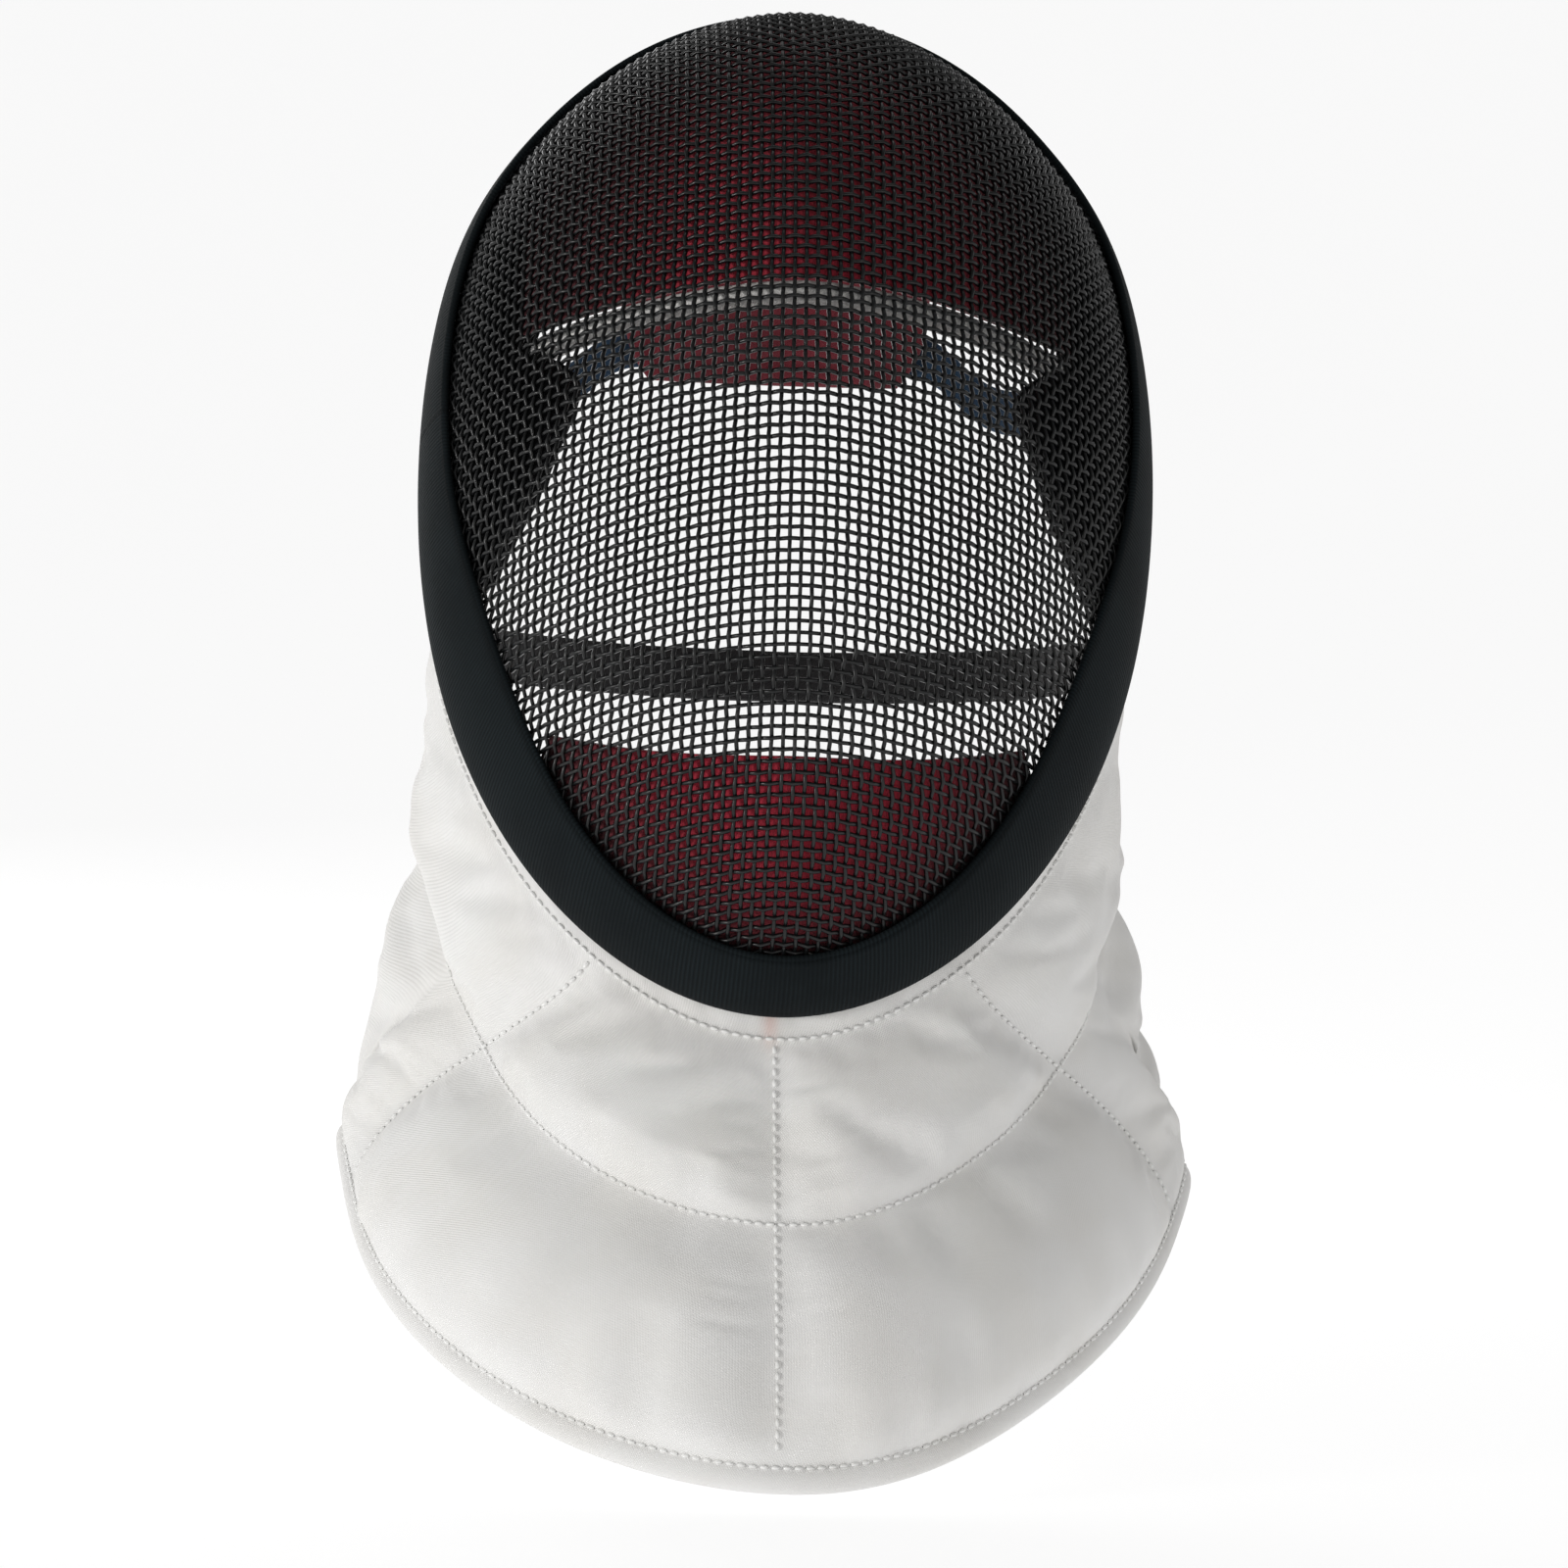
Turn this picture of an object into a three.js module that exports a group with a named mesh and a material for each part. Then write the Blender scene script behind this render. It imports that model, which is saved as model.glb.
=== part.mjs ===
// Fencing mask: a dome of woven wire bound in black cloth, with a quilted white bib, red pads,
// a sprung tongue behind the head, two elastic stays that hold the tongue, and a nape strap.
//
// Millimetres. x runs to the viewer's right, y to the back of the head and z up.
// Shapes are worked out above the lowest point of the rim, which is under the chin.
// The group at the end hangs them all from the seat under the crown, which is the origin.

import * as THREE from "three";

// Driving dimensions
const GAP = 0.4; // clearance between pieces that touch
const RIM_LEAN = 21.5; // degrees that the flat rim leans back from upright
const RIM_AHEAD = 88.5; // the rim's plane, along its own axis
const POLE_RISE = 130; // middle of the dome's sections, up the leaning rim
const DOME_HEIGHT = 103.5; // from the rim's plane to the pole
const DOME_ROUND = 2.1; // how full a section is next to the pole
const KEEL_SLOPE = 0.2; // fall of the front to each side of its middle line
const KEEL_ROUND = 10; // width over which that line is rounded
const WIRE_WALL = 2; // two crossed wires
const TRIM_WALL = 2.2;
const TRIM_TURN_IN = 0.5; // binding folded to the inside, as a share of its width outside
const PAD_GAP = 1.1; // pads rest on the high spots of the weave
const BIB_WALL = 3.4; // cloth and batting where they are stitched flat
const BIB_PUFF = 5.5; // extra batting in the middle of a panel
const BIB_END = 80; // degrees round the rim from the chin to the last stitch of the bib
const BIB_SIDE_PUFF = 2; // the same in the panels under the jaw, which are pulled flat
const BIB_SEAM_WIDTH = 11;
const CROWN_PAD_THICK = 14;
const CROWN_PAD_HALF = 76; // half the width of its front edge
const CROWN_PAD_FRONT = 141; // its front edge, up the leaning rim
const CROWN_PAD_REAR = 50; // from the rim to its back edge
const PIPING_RADIUS = 3.6;
const CHIN_PAD_THICK = 10;
const CHIN_PAD_SPREAD = 34; // degrees either side of the chin
const CHIN_PAD_TOP = { middle: 117, end: 119 }; // from the pole to its top edge
const SIDE_PAD_THICK = 7;
// Inner edge of the black side pads: degrees up from the pole, and distance out from it
const SIDE_PAD_EDGE = [
  { angle: -32, reach: 103 },
  { angle: -28, reach: 93 },
  { angle: -21, reach: 79 },
  { angle: -13, reach: 70 },
  { angle: -5, reach: 69 },
  { angle: 1, reach: 75 },
  { angle: 5, reach: 80 },
  { angle: 20, reach: 86 },
  { angle: 38, reach: 102 },
];
const TONGUE_THICK = 9;
const TONGUE_CURVE = 105; // radius at which its width wraps round the head
const STRAP_WIDTH = 16;
const STRAP_WALL = 2.4;
const STAY_WIDTH = 14;
const STAY_WALL = 2;
const SEAT = { y: -50, z: 265 }; // underside of the crown pad

// Sections of the dome, fanned about its pole from the chin to the crown, the same on both sides.
// angle is in degrees up from the horizontal, radius runs from the pole to the rim, full is how
// square the section's shoulder is, and trim is the width of the binding outside the wire.
const DOME_SECTIONS = [
  { angle: -90, radius: 162, full: 1.85, trim: 28 },
  { angle: -70, radius: 149.5, full: 1.68, trim: 32 },
  { angle: -53, radius: 131.5, full: 1.52, trim: 37 },
  { angle: -37, radius: 117, full: 1.55, trim: 38 },
  { angle: -17, radius: 105.5, full: 1.8, trim: 35 },
  { angle: 5, radius: 102.5, full: 2, trim: 32 },
  { angle: 21, radius: 106.5, full: 2.05, trim: 30 },
  { angle: 40, radius: 116, full: 2.08, trim: 29 },
  { angle: 52, radius: 122, full: 2.1, trim: 28 },
  { angle: 70, radius: 132, full: 2.15, trim: 28 },
  { angle: 90, radius: 137, full: 2.2, trim: 28 },
];

// Sections of the bib. turn is in degrees round the rim from the chin, negative to the viewer's left.
// The hem columns place the bottom edge. lean and drop carry the cloth out and down from the rim,
// and tuck and rise bring it back in and up from the hem.
const BIB_SECTIONS = [
  { turn: -80, hemX: -112, hemY: 30, hemZ: -22, lean: -7, drop: 66, tuck: 8, rise: 38 },
  { turn: -60, hemX: -120, hemY: 16, hemZ: -36, lean: -4, drop: 56, tuck: 9, rise: 36 },
  { turn: -40, hemX: -121, hemY: 0, hemZ: -49, lean: -4, drop: 38, tuck: 10, rise: 38 },
  { turn: -19, hemX: -120, hemY: -20, hemZ: -63, lean: 9, drop: 26, tuck: 9, rise: 38 },
  { turn: -12, hemX: -101, hemY: -65, hemZ: -92, lean: 9, drop: 32, tuck: 6, rise: 40 },
  { turn: -6, hemX: -55, hemY: -103, hemZ: -118, lean: 9, drop: 38, tuck: 5, rise: 42 },
  { turn: 0, hemX: 5, hemY: -120, hemZ: -128, lean: 9, drop: 40, tuck: 5, rise: 42 },
  { turn: 6, hemX: 56, hemY: -102, hemZ: -118, lean: 9, drop: 38, tuck: 5, rise: 42 },
  { turn: 12, hemX: 99, hemY: -63, hemZ: -92, lean: 9, drop: 32, tuck: 6, rise: 40 },
  { turn: 19, hemX: 122, hemY: -18, hemZ: -66, lean: 9, drop: 26, tuck: 9, rise: 38 },
  { turn: 40, hemX: 122, hemY: 0, hemZ: -53, lean: -6, drop: 38, tuck: 11, rise: 38 },
  { turn: 60, hemX: 118, hemY: 16, hemZ: -38, lean: -7, drop: 56, tuck: 11, rise: 38 },
  { turn: 80, hemX: 110, hemY: 30, hemZ: -24, lean: -11, drop: 66, tuck: 10, rise: 40 },
];

// Stitched lines of the bib: across it, as shares of its drop, and down it, as turns round the rim.
const BIB_CROSS_SEAMS = [0.045, 0.46, 0.945];
const BIB_DOWN_SEAMS = [-19, 0, 19];

// Soft creases across the bib's sides. turn and share place the middle of a crease,
// run and breadth are its half length in degrees and half width in share, and rise is its height.
const BIB_CREASES = [
  { turn: -62, share: 0.45, run: 26, breadth: 0.06, rise: -6 },
  { turn: -58, share: 0.6, run: 22, breadth: 0.07, rise: 3 },
  { turn: 62, share: 0.46, run: 24, breadth: 0.055, rise: -7 },
  { turn: 56, share: 0.59, run: 20, breadth: 0.05, rise: 3.5 },
  { turn: 60, share: 0.71, run: 20, breadth: 0.05, rise: -3 },
  { turn: 54, share: 0.83, run: 18, breadth: 0.05, rise: 2.5 },
];

// Middle line of the tongue in the plane of symmetry, from under the crown to its free end.
const TONGUE_LINE = [
  { y: -20, z: 275.5 },
  { y: 35, z: 266.5 },
  { y: 90, z: 245 },
  { y: 92, z: 191 },
];
const TONGUE_WIDTH = { root: 106, tip: 94 };
const TONGUE_EDGE = 0.55; // thickness at its edges, as a share of the middle

// Path of the nape strap behind the rim on one side, to the middle of the back.
const STRAP_RIM_ANGLE = -29; // where it leaves the rim, in degrees up from the pole
const STRAP_LINE = [
  { x: 89, y: 6, z: 101 },
  { x: 75, y: 44, z: 99.5 },
  { x: 40, y: 70, z: 98 },
  { x: 0, y: 76, z: 97.5 },
];

// Path of one elastic stay behind the rim, to the tongue's lower corner.
const STAY_RIM_ANGLE = 11;
const STAY_LINE = [
  { x: 90, y: 36, z: 179 },
  { x: 68, y: 74, z: 185 },
];
const STAY_END = { along: 0.93, from: 48, to: 30 }; // sewn to the tongue, from and to a distance across

const CLOTH = {
  wire: { color: 0x121314, roughness: 0.45, metalness: 0.6 },
  trim: { color: 0x1a2023, roughness: 0.85, metalness: 0 },
  bib: { color: 0xe2e1de, roughness: 0.9, metalness: 0 },
  red: { color: 0x9c1f30, roughness: 0.9, metalness: 0 },
  darkRed: { color: 0x6d1a26, roughness: 0.9, metalness: 0 },
  white: { color: 0xdcdcda, roughness: 0.85, metalness: 0 },
  black: { color: 0x141516, roughness: 0.8, metalness: 0 },
  navy: { color: 0x1c3350, roughness: 0.85, metalness: 0 },
};

const radians = THREE.MathUtils.degToRad;
const degrees = THREE.MathUtils.radToDeg;
const lerp = THREE.MathUtils.lerp;

// Cubic spline through one column of a table, level at both ends unless slack is set.
function track(rows, key, column, slack = false) {
  const x = rows.map((row) => row[key]);
  const y = rows.map((row) => row[column]);
  const last = x.length - 1;
  const diagonal = [];
  const right = [];
  const bend = [];
  const step = (i) => x[i + 1] - x[i];
  const rise = (i) => (y[i + 1] - y[i]) / step(i);
  const upper = (i) => (i === last || (slack && i === 0) ? 0 : step(i));
  const lower = (i) => (slack && i === last ? 0 : step(i - 1));
  for (let i = 0; i <= last; i++) {
    const end = i === 0 || i === last;
    const before = i > 0 ? step(i - 1) : 0;
    const after = i < last ? step(i) : 0;
    const knee = (i < last ? rise(i) : 0) - (i > 0 ? rise(i - 1) : 0);
    diagonal[i] = end && slack ? 1 : 2 * (before + after);
    right[i] = end && slack ? 0 : 6 * knee;
    if (i > 0) {
      const share = lower(i) / diagonal[i - 1];
      diagonal[i] -= share * upper(i - 1);
      right[i] -= share * right[i - 1];
    }
  }
  for (let i = last; i >= 0; i--) {
    bend[i] = (right[i] - (i < last ? upper(i) * bend[i + 1] : 0)) / diagonal[i];
  }
  return (at) => {
    let i = 0;
    while (i < last - 1 && at > x[i + 1]) i++;
    const h = step(i);
    const b = (at - x[i]) / h;
    const a = 1 - b;
    const curve = (a ** 3 - a) * bend[i] + (b ** 3 - b) * bend[i + 1];
    return a * y[i] + b * y[i + 1] + (curve * h * h) / 6;
  };
}

const dome = {};
for (const column of ["radius", "full", "trim"]) {
  dome[column] = track(DOME_SECTIONS, "angle", column);
}

// Angles run all round the pole, and the table holds the right half.
function mirrored(angle) {
  const round = THREE.MathUtils.euclideanModulo(angle + 90, 360);
  return (round > 180 ? 360 - round : round) - 90;
}

// Point of the dome's middle sheet: an angle round the pole, and a share of the way to the rim.
function domePoint(angle, share) {
  const at = mirrored(angle);
  const turn = radians(angle);
  const swing = (share * Math.PI) / 2;
  const reach = dome.radius(at) * Math.sin(swing) ** (2 / DOME_ROUND);
  const x = reach * Math.cos(turn);
  const up = POLE_RISE + reach * Math.sin(turn);
  const keel = KEEL_SLOPE * (Math.hypot(x, KEEL_ROUND) - KEEL_ROUND);
  const ahead = RIM_AHEAD + (DOME_HEIGHT - keel) * Math.max(Math.cos(swing), 0) ** (2 / dome.full(at));
  const lean = radians(RIM_LEAN);
  const y = up * Math.sin(lean) - ahead * Math.cos(lean);
  const z = up * Math.cos(lean) + ahead * Math.sin(lean);
  return new THREE.Vector3(x, y, z);
}

// Direction along a section, towards the rim.
function domeRun(angle, share) {
  const from = Math.max(share - 1e-3, 0);
  const to = Math.min(share + 1e-3, 1);
  return domePoint(angle, to).sub(domePoint(angle, from)).normalize();
}

// Outward direction of the dome's sheet.
function domeNormal(angle, share) {
  const out = Math.max(share, 1e-3);
  const across = domePoint(angle + 0.05, out).sub(domePoint(angle - 0.05, out));
  return domeRun(angle, out).cross(across).normalize();
}

// Share of a section that lies a given inset from the rim, measured along the wire.
const INSET_STEPS = 120;
const insetTables = new Map();
function shareAtInset(angle, inset) {
  if (inset <= 0) return 1;
  if (!insetTables.has(angle)) {
    const lengths = [0];
    let last = domePoint(angle, 1);
    for (let i = 1; i <= INSET_STEPS; i++) {
      const next = domePoint(angle, 1 - i / INSET_STEPS);
      lengths.push(lengths[i - 1] + next.distanceTo(last));
      last = next;
    }
    insetTables.set(angle, lengths);
  }
  const lengths = insetTables.get(angle);
  const past = lengths.findIndex((length) => length >= inset);
  if (past < 0) return 0;
  const part = (inset - lengths[past - 1]) / (lengths[past] - lengths[past - 1]);
  return 1 - (past - 1 + part) / INSET_STEPS;
}

// Share of a section at a given reach from the pole, measured in the rim's plane.
function shareAtReach(angle, reach) {
  const ratio = Math.min(reach / dome.radius(mirrored(angle)), 1);
  return Math.asin(ratio ** (DOME_ROUND / 2)) / (Math.PI / 2);
}

// Point of the sheet lifted off it along its outward direction.
function lifted(angle, share, lift) {
  return domePoint(angle, share).addScaledVector(domeNormal(angle, share), lift);
}

// Point at an inset from the rim. A negative inset goes straight on past the rim.
function onDome(angle, inset, lift) {
  const point = lifted(angle, shareAtInset(angle, inset), lift);
  return inset < 0 ? point.addScaledVector(domeRun(angle, 1), -inset) : point;
}

// Point that lies x across and a height up the leaning rim.
function underDome(x, up, lift) {
  const angle = degrees(Math.atan2(up - POLE_RISE, x));
  return lifted(angle, shareAtReach(angle, Math.hypot(x, up - POLE_RISE)), lift);
}

// Geometry from points and faces, turned so that its faces point out.
function closedGeometry(points, faces) {
  const volume = faces.reduce((sum, [a, b, c]) => {
    const across = new THREE.Vector3().crossVectors(points[b], points[c]);
    return sum + points[a].dot(across);
  }, 0);
  const outward = volume < 0 ? faces.map(([a, b, c]) => [a, c, b]) : faces;
  const geometry = new THREE.BufferGeometry().setFromPoints(points);
  geometry.setIndex(outward.flat());
  geometry.computeVertexNormals();
  return geometry;
}

// Two faces of a four-sided cell, cut along its shorter diagonal. A cell that narrows to a point has one.
function splitQuad(points, a, b, c, d) {
  const flip = points[a].distanceTo(points[c]) > points[b].distanceTo(points[d]);
  const halves = flip ? [[a, b, d], [b, c, d]] : [[a, b, c], [a, c, d]];
  return halves.filter((face) => new Set(face).size === 3);
}

// Closed solid between two sheets, front(u, v) and back(u, v), with u and v from 0 to 1.
// A ring joins its last column to its first, and a pole gathers v = 0 to one point.
function sheetSolid(front, back, columns, rows, { ring = false, pole = false } = {}) {
  const points = [];
  const faces = [];
  const wide = ring ? columns : columns + 1;
  const [near, far] = [front, back].map((sheet) => {
    const grid = [];
    for (let j = 0; j <= rows; j++) {
      grid.push([]);
      for (let i = 0; i < wide; i++) {
        const shared = pole && j === 0 && i > 0;
        grid[j].push(shared ? grid[0][0] : points.push(sheet(i / columns, j / rows)) - 1);
      }
    }
    return grid;
  });
  const quad = (...corners) => faces.push(...splitQuad(points, ...corners));
  for (let j = 0; j < rows; j++) {
    for (let i = 0; i < columns; i++) {
      const k = (i + 1) % wide;
      quad(near[j][i], near[j][k], near[j + 1][k], near[j + 1][i]);
      quad(far[j][i], far[j + 1][i], far[j + 1][k], far[j][k]);
    }
    if (!ring) {
      quad(near[j][0], near[j + 1][0], far[j + 1][0], far[j][0]);
      quad(near[j][columns], far[j][columns], far[j + 1][columns], near[j + 1][columns]);
    }
  }
  for (let i = 0; i < columns; i++) {
    const k = (i + 1) % wide;
    if (!pole) quad(near[0][i], far[0][i], far[0][k], near[0][k]);
    quad(near[rows][i], near[rows][k], far[rows][k], far[rows][i]);
  }
  return closedGeometry(points, faces);
}

// Closed solid of one outline carried round a ring, section(turn) giving the outline's points.
function ringSolid(section, steps) {
  const points = [];
  const faces = [];
  const loops = Array.from({ length: steps }, (_, i) =>
    section(i / steps).map((point) => points.push(point) - 1),
  );
  loops.forEach((loop, i) => {
    const next = loops[(i + 1) % steps];
    loop.forEach((corner, j) => {
      const k = (j + 1) % loop.length;
      faces.push(...splitQuad(points, corner, loop[k], next[k], next[j]));
    });
  });
  return closedGeometry(points, faces);
}

function piece(name, geometry, finish) {
  const mesh = new THREE.Mesh(geometry, new THREE.MeshStandardMaterial(finish));
  mesh.name = name;
  return mesh;
}

// Full in the middle and thin at the edges, for u and v from 0 to 1.
function pillow(u, v, edge) {
  const crown = (w) => 1 - Math.abs(2 * w - 1) ** 5;
  return lerp(edge, 1, crown(u) * crown(v));
}

// Facets of the dome: round the pole, from pole to rim, and those of them under the binding.
const DOME_COLUMNS = 48;
const DOME_ROWS = 12;
const BOUND_ROWS = 2;

// Woven wire dome
function wireDome() {
  const open = DOME_ROWS - BOUND_ROWS;
  const sheet = (lift) => (u, v) => {
    const angle = 360 * u - 90;
    const row = Math.round(v * DOME_ROWS);
    const width = dome.trim(mirrored(angle));
    const edge = shareAtInset(angle, width);
    const bound = shareAtInset(angle, (width * (DOME_ROWS - row)) / BOUND_ROWS);
    return lifted(angle, row < open ? (edge * row) / open : bound, lift);
  };
  const half = WIRE_WALL / 2;
  const options = { ring: true, pole: true };
  const geometry = sheetSolid(sheet(half), sheet(-half), DOME_COLUMNS, DOME_ROWS, options);
  return piece("wire_dome", geometry, CLOTH.wire);
}

// Cloth binding folded over the rim: each corner of its outline is an inset from the rim and a lift.
function rimTrim() {
  const inner = WIRE_WALL / 2 + GAP;
  const outer = inner + TRIM_WALL;
  const past = GAP + TRIM_WALL;
  const section = (share) => {
    const angle = 360 * share - 90;
    const width = dome.trim(mirrored(angle));
    const outline = [
      [width, inner],
      [width, outer - 0.8],
      [width - 2, outer],
      [width / 2, outer],
      [0, outer],
      [-past + 0.7, outer * 0.7],
      [-past, 0],
      [-past + 0.7, -outer * 0.7],
      [0, -outer],
      [width * TRIM_TURN_IN, -outer],
      [width * TRIM_TURN_IN, -inner],
      [-GAP, -inner],
      [-GAP, inner],
      [width / 2, inner],
    ];
    return outline.map(([inset, lift]) => onDome(angle, inset, lift));
  };
  return piece("rim_trim", ringSolid(section, DOME_COLUMNS), CLOTH.trim);
}

const bib = {};
for (const column of ["hemX", "hemY", "hemZ", "lean", "drop", "tuck", "rise"]) {
  bib[column] = track(BIB_SECTIONS, "turn", column, true);
}

// Middle sheet of the bib: for each turn round the rim, a cubic curve from the binding to the hem.
function bibSheet(turn, share) {
  const top = onDome(turn - 90, -(TRIM_WALL + 2 * GAP + BIB_WALL / 2), -1);
  const hem = new THREE.Vector3(bib.hemX(turn), bib.hemY(turn), bib.hemZ(turn));
  const away = new THREE.Vector3(hem.x, hem.y - 40, 0).normalize();
  const under = top.clone().addScaledVector(away, bib.lean(turn));
  under.z -= bib.drop(turn);
  const over = hem.clone().addScaledVector(away, -bib.tuck(turn));
  over.z += bib.rise(turn);
  return new THREE.CubicBezierCurve3(top, under, over, hem).getPoint(share);
}

// Outward direction of the bib's middle sheet.
function bibNormal(turn, share) {
  const from = Math.max(share - 0.01, 0);
  const to = Math.min(share + 0.01, 1);
  const down = bibSheet(turn, to).sub(bibSheet(turn, from));
  const across = bibSheet(turn + 0.5, share).sub(bibSheet(turn - 0.5, share));
  return across.cross(down).normalize().negate();
}

// How far a panel stands off its seams: nothing on a stitched line, full away from it.
function bibPuff(turn, share) {
  const length = bibSheet(turn, 0).distanceTo(bibSheet(turn, 1));
  const girth = bibSheet(turn + 0.5, share).distanceTo(bibSheet(turn - 0.5, share));
  const filled = (gap) => 1 - Math.exp(-((gap / BIB_SEAM_WIDTH) ** 2));
  const across = BIB_CROSS_SEAMS.map((seam) => filled((share - seam) * length));
  const down = BIB_DOWN_SEAMS.map((seam) => filled((turn - seam) * girth));
  const ends = filled((BIB_END - Math.abs(turn)) * girth);
  const border = share < BIB_CROSS_SEAMS[0] || share > BIB_CROSS_SEAMS.at(-1) ? 0.3 : 1;
  return border * ends * [...across, ...down].reduce((product, part) => product * part, 1);
}

// Height of the creases at one place.
function bibCrease(turn, share) {
  return BIB_CREASES.reduce((sum, crease) => {
    const along = (turn - crease.turn) / crease.run;
    const over = (share - crease.share) / crease.breadth;
    return sum + crease.rise * Math.exp(-(along ** 2) - over ** 2);
  }, 0);
}

// Quilted bib
function quiltedBib() {
  const face = (side) => (u, v) => {
    const turn = lerp(-BIB_END, BIB_END, u);
    const batting = lerp(BIB_PUFF, BIB_SIDE_PUFF, THREE.MathUtils.smoothstep(Math.abs(turn), 22, 50));
    const puff = batting * bibPuff(turn, v) * (side > 0 ? 1 : 0.3);
    const lift = side * (BIB_WALL / 2 + puff) + bibCrease(turn, v);
    return bibSheet(turn, v).addScaledVector(bibNormal(turn, v), lift);
  };
  return piece("bib", sheetSolid(face(1), face(-1), 56, 18), CLOTH.bib);
}

// Up the leaning rim, the back edge of the crown pad at a distance across.
function crownPadRear(x) {
  const angle = degrees(Math.acos(x / dome.radius(90)));
  const swing = (shareAtInset(angle, CROWN_PAD_REAR) * Math.PI) / 2;
  const reach = dome.radius(mirrored(angle)) * Math.sin(swing) ** (2 / DOME_ROUND);
  return POLE_RISE + Math.sqrt(Math.max(reach * reach - x * x, 0));
}

// Red pad between the crown and the wire
function crownPad() {
  const outside = -(WIRE_WALL / 2 + PAD_GAP);
  const face = (depth) => (u, v) => {
    const x = lerp(-CROWN_PAD_HALF, CROWN_PAD_HALF, u);
    const up = lerp(CROWN_PAD_FRONT, crownPadRear(x), Math.sin(1.3 * v) / Math.sin(1.3));
    return underDome(x, up, outside - depth * pillow(u, v, 0.4));
  };
  return piece("crown_pad", sheetSolid(face(0), face(CROWN_PAD_THICK), 16, 9), CLOTH.red);
}

// White binding along the front edge of the crown pad
function crownPiping() {
  const stops = [];
  const count = 11;
  const lift = -(WIRE_WALL / 2 + PAD_GAP + PIPING_RADIUS);
  for (let i = 0; i < count; i++) {
    const x = lerp(-CROWN_PAD_HALF, CROWN_PAD_HALF, i / (count - 1));
    stops.push(underDome(x, CROWN_PAD_FRONT - PIPING_RADIUS - GAP, lift));
  }
  const ring = new THREE.Shape().absarc(0, 0, PIPING_RADIUS, 0, 2 * Math.PI);
  const geometry = new THREE.ExtrudeGeometry(ring, {
    steps: 22,
    curveSegments: 5,
    extrudePath: new THREE.CatmullRomCurve3(stops),
  });
  return piece("crown_piping", geometry, CLOTH.white);
}

// Black pad inside the wire beside the crown pad, on the right (side 1) or the left (side -1)
function sidePad(name, side) {
  const outside = -(WIRE_WALL / 2 + PAD_GAP);
  const edge = track(SIDE_PAD_EDGE, "angle", "reach");
  const [first, last] = [SIDE_PAD_EDGE[0].angle, SIDE_PAD_EDGE.at(-1).angle];
  const face = (depth) => (u, v) => {
    const angle = lerp(first, last, u);
    const rim = shareAtInset(angle, dome.trim(mirrored(angle)) * TRIM_TURN_IN + 3);
    const share = lerp(rim, shareAtReach(angle, edge(angle)), v);
    const point = lifted(angle, share, outside - depth * pillow(u, v, 0.4));
    return point.setX(point.x * side);
  };
  return piece(name, sheetSolid(face(0), face(SIDE_PAD_THICK), 14, 4), CLOTH.black);
}

// Red pad inside the chin of the wire
function chinPad() {
  const outside = -(WIRE_WALL / 2 + PAD_GAP);
  const face = (depth) => (u, v) => {
    const angle = -90 + lerp(-CHIN_PAD_SPREAD, CHIN_PAD_SPREAD, u);
    const bottom = shareAtInset(angle, dome.trim(mirrored(angle)) * TRIM_TURN_IN + 3);
    const top = lerp(CHIN_PAD_TOP.middle, CHIN_PAD_TOP.end, (2 * u - 1) ** 2);
    const share = lerp(bottom, shareAtReach(angle, top), v);
    return lifted(angle, share, outside - depth * pillow(u, v, 0.4));
  };
  return piece("chin_pad", sheetSolid(face(0), face(CHIN_PAD_THICK), 18, 6), CLOTH.red);
}

const tongueLine = new THREE.CubicBezierCurve3(
  ...TONGUE_LINE.map(({ y, z }) => new THREE.Vector3(0, y, z)),
);

function tongueWidth(along) {
  const corner = Math.max((along - 0.82) / 0.18, 0);
  return lerp(TONGUE_WIDTH.root, TONGUE_WIDTH.tip, along) * (1 - 0.16 * corner ** 3);
}

// Point of the tongue's middle sheet: across from -1 to 1, along from root to tip, lifted off the head.
function onTongue(across, along, lift) {
  const run = tongueLine.getTangent(along);
  const away = new THREE.Vector3(0, -run.z, run.y);
  const x = (across * tongueWidth(along)) / 2;
  const wrap = (x * x) / (2 * TONGUE_CURVE);
  const point = tongueLine.getPoint(along).addScaledVector(away, lift - wrap);
  point.x = x;
  return point;
}

function tongueHalf(u, v) {
  return (TONGUE_THICK * pillow(u, v, TONGUE_EDGE)) / 2;
}

// Padded tongue that springs against the back of the head
function backTongue() {
  const face = (side) => (u, v) => onTongue(2 * u - 1, v, side * tongueHalf(u, v));
  return piece("back_tongue", sheetSolid(face(1), face(-1), 12, 12), CLOTH.darkRed);
}

// Direction up along the rim, on the right (side 1) or the left (side -1).
function rimEdge(angle, side) {
  const edge = domePoint(angle + 0.5, 1).sub(domePoint(angle - 0.5, 1)).normalize();
  return edge.setX(edge.x * side);
}

// Path of a band that starts flat against the binding inside the rim, then runs through more stops.
function rimPath(angle, wall, stops) {
  const lift = -(WIRE_WALL / 2 + TRIM_WALL + GAP + PAD_GAP + wall / 2 + 0.2);
  const against = [9, -9].map((inset) => onDome(angle, inset, lift));
  return [...against, ...stops.map(({ x, y, z }) => new THREE.Vector3(x, y, z))];
}

// Flat band along a path. edge(u) is the direction across its width.
function band(stops, width, wall, steps, edge) {
  const path = new THREE.CatmullRomCurve3(stops);
  const face = (side) => (u, v) => {
    const across = edge(u);
    const away = path.getTangentAt(u).cross(across).normalize();
    const point = path.getPointAt(u).addScaledVector(away, (side * wall) / 2);
    return point.addScaledVector(across, width * (v - 0.5));
  };
  return sheetSolid(face(1), face(-1), steps, 1);
}

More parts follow.
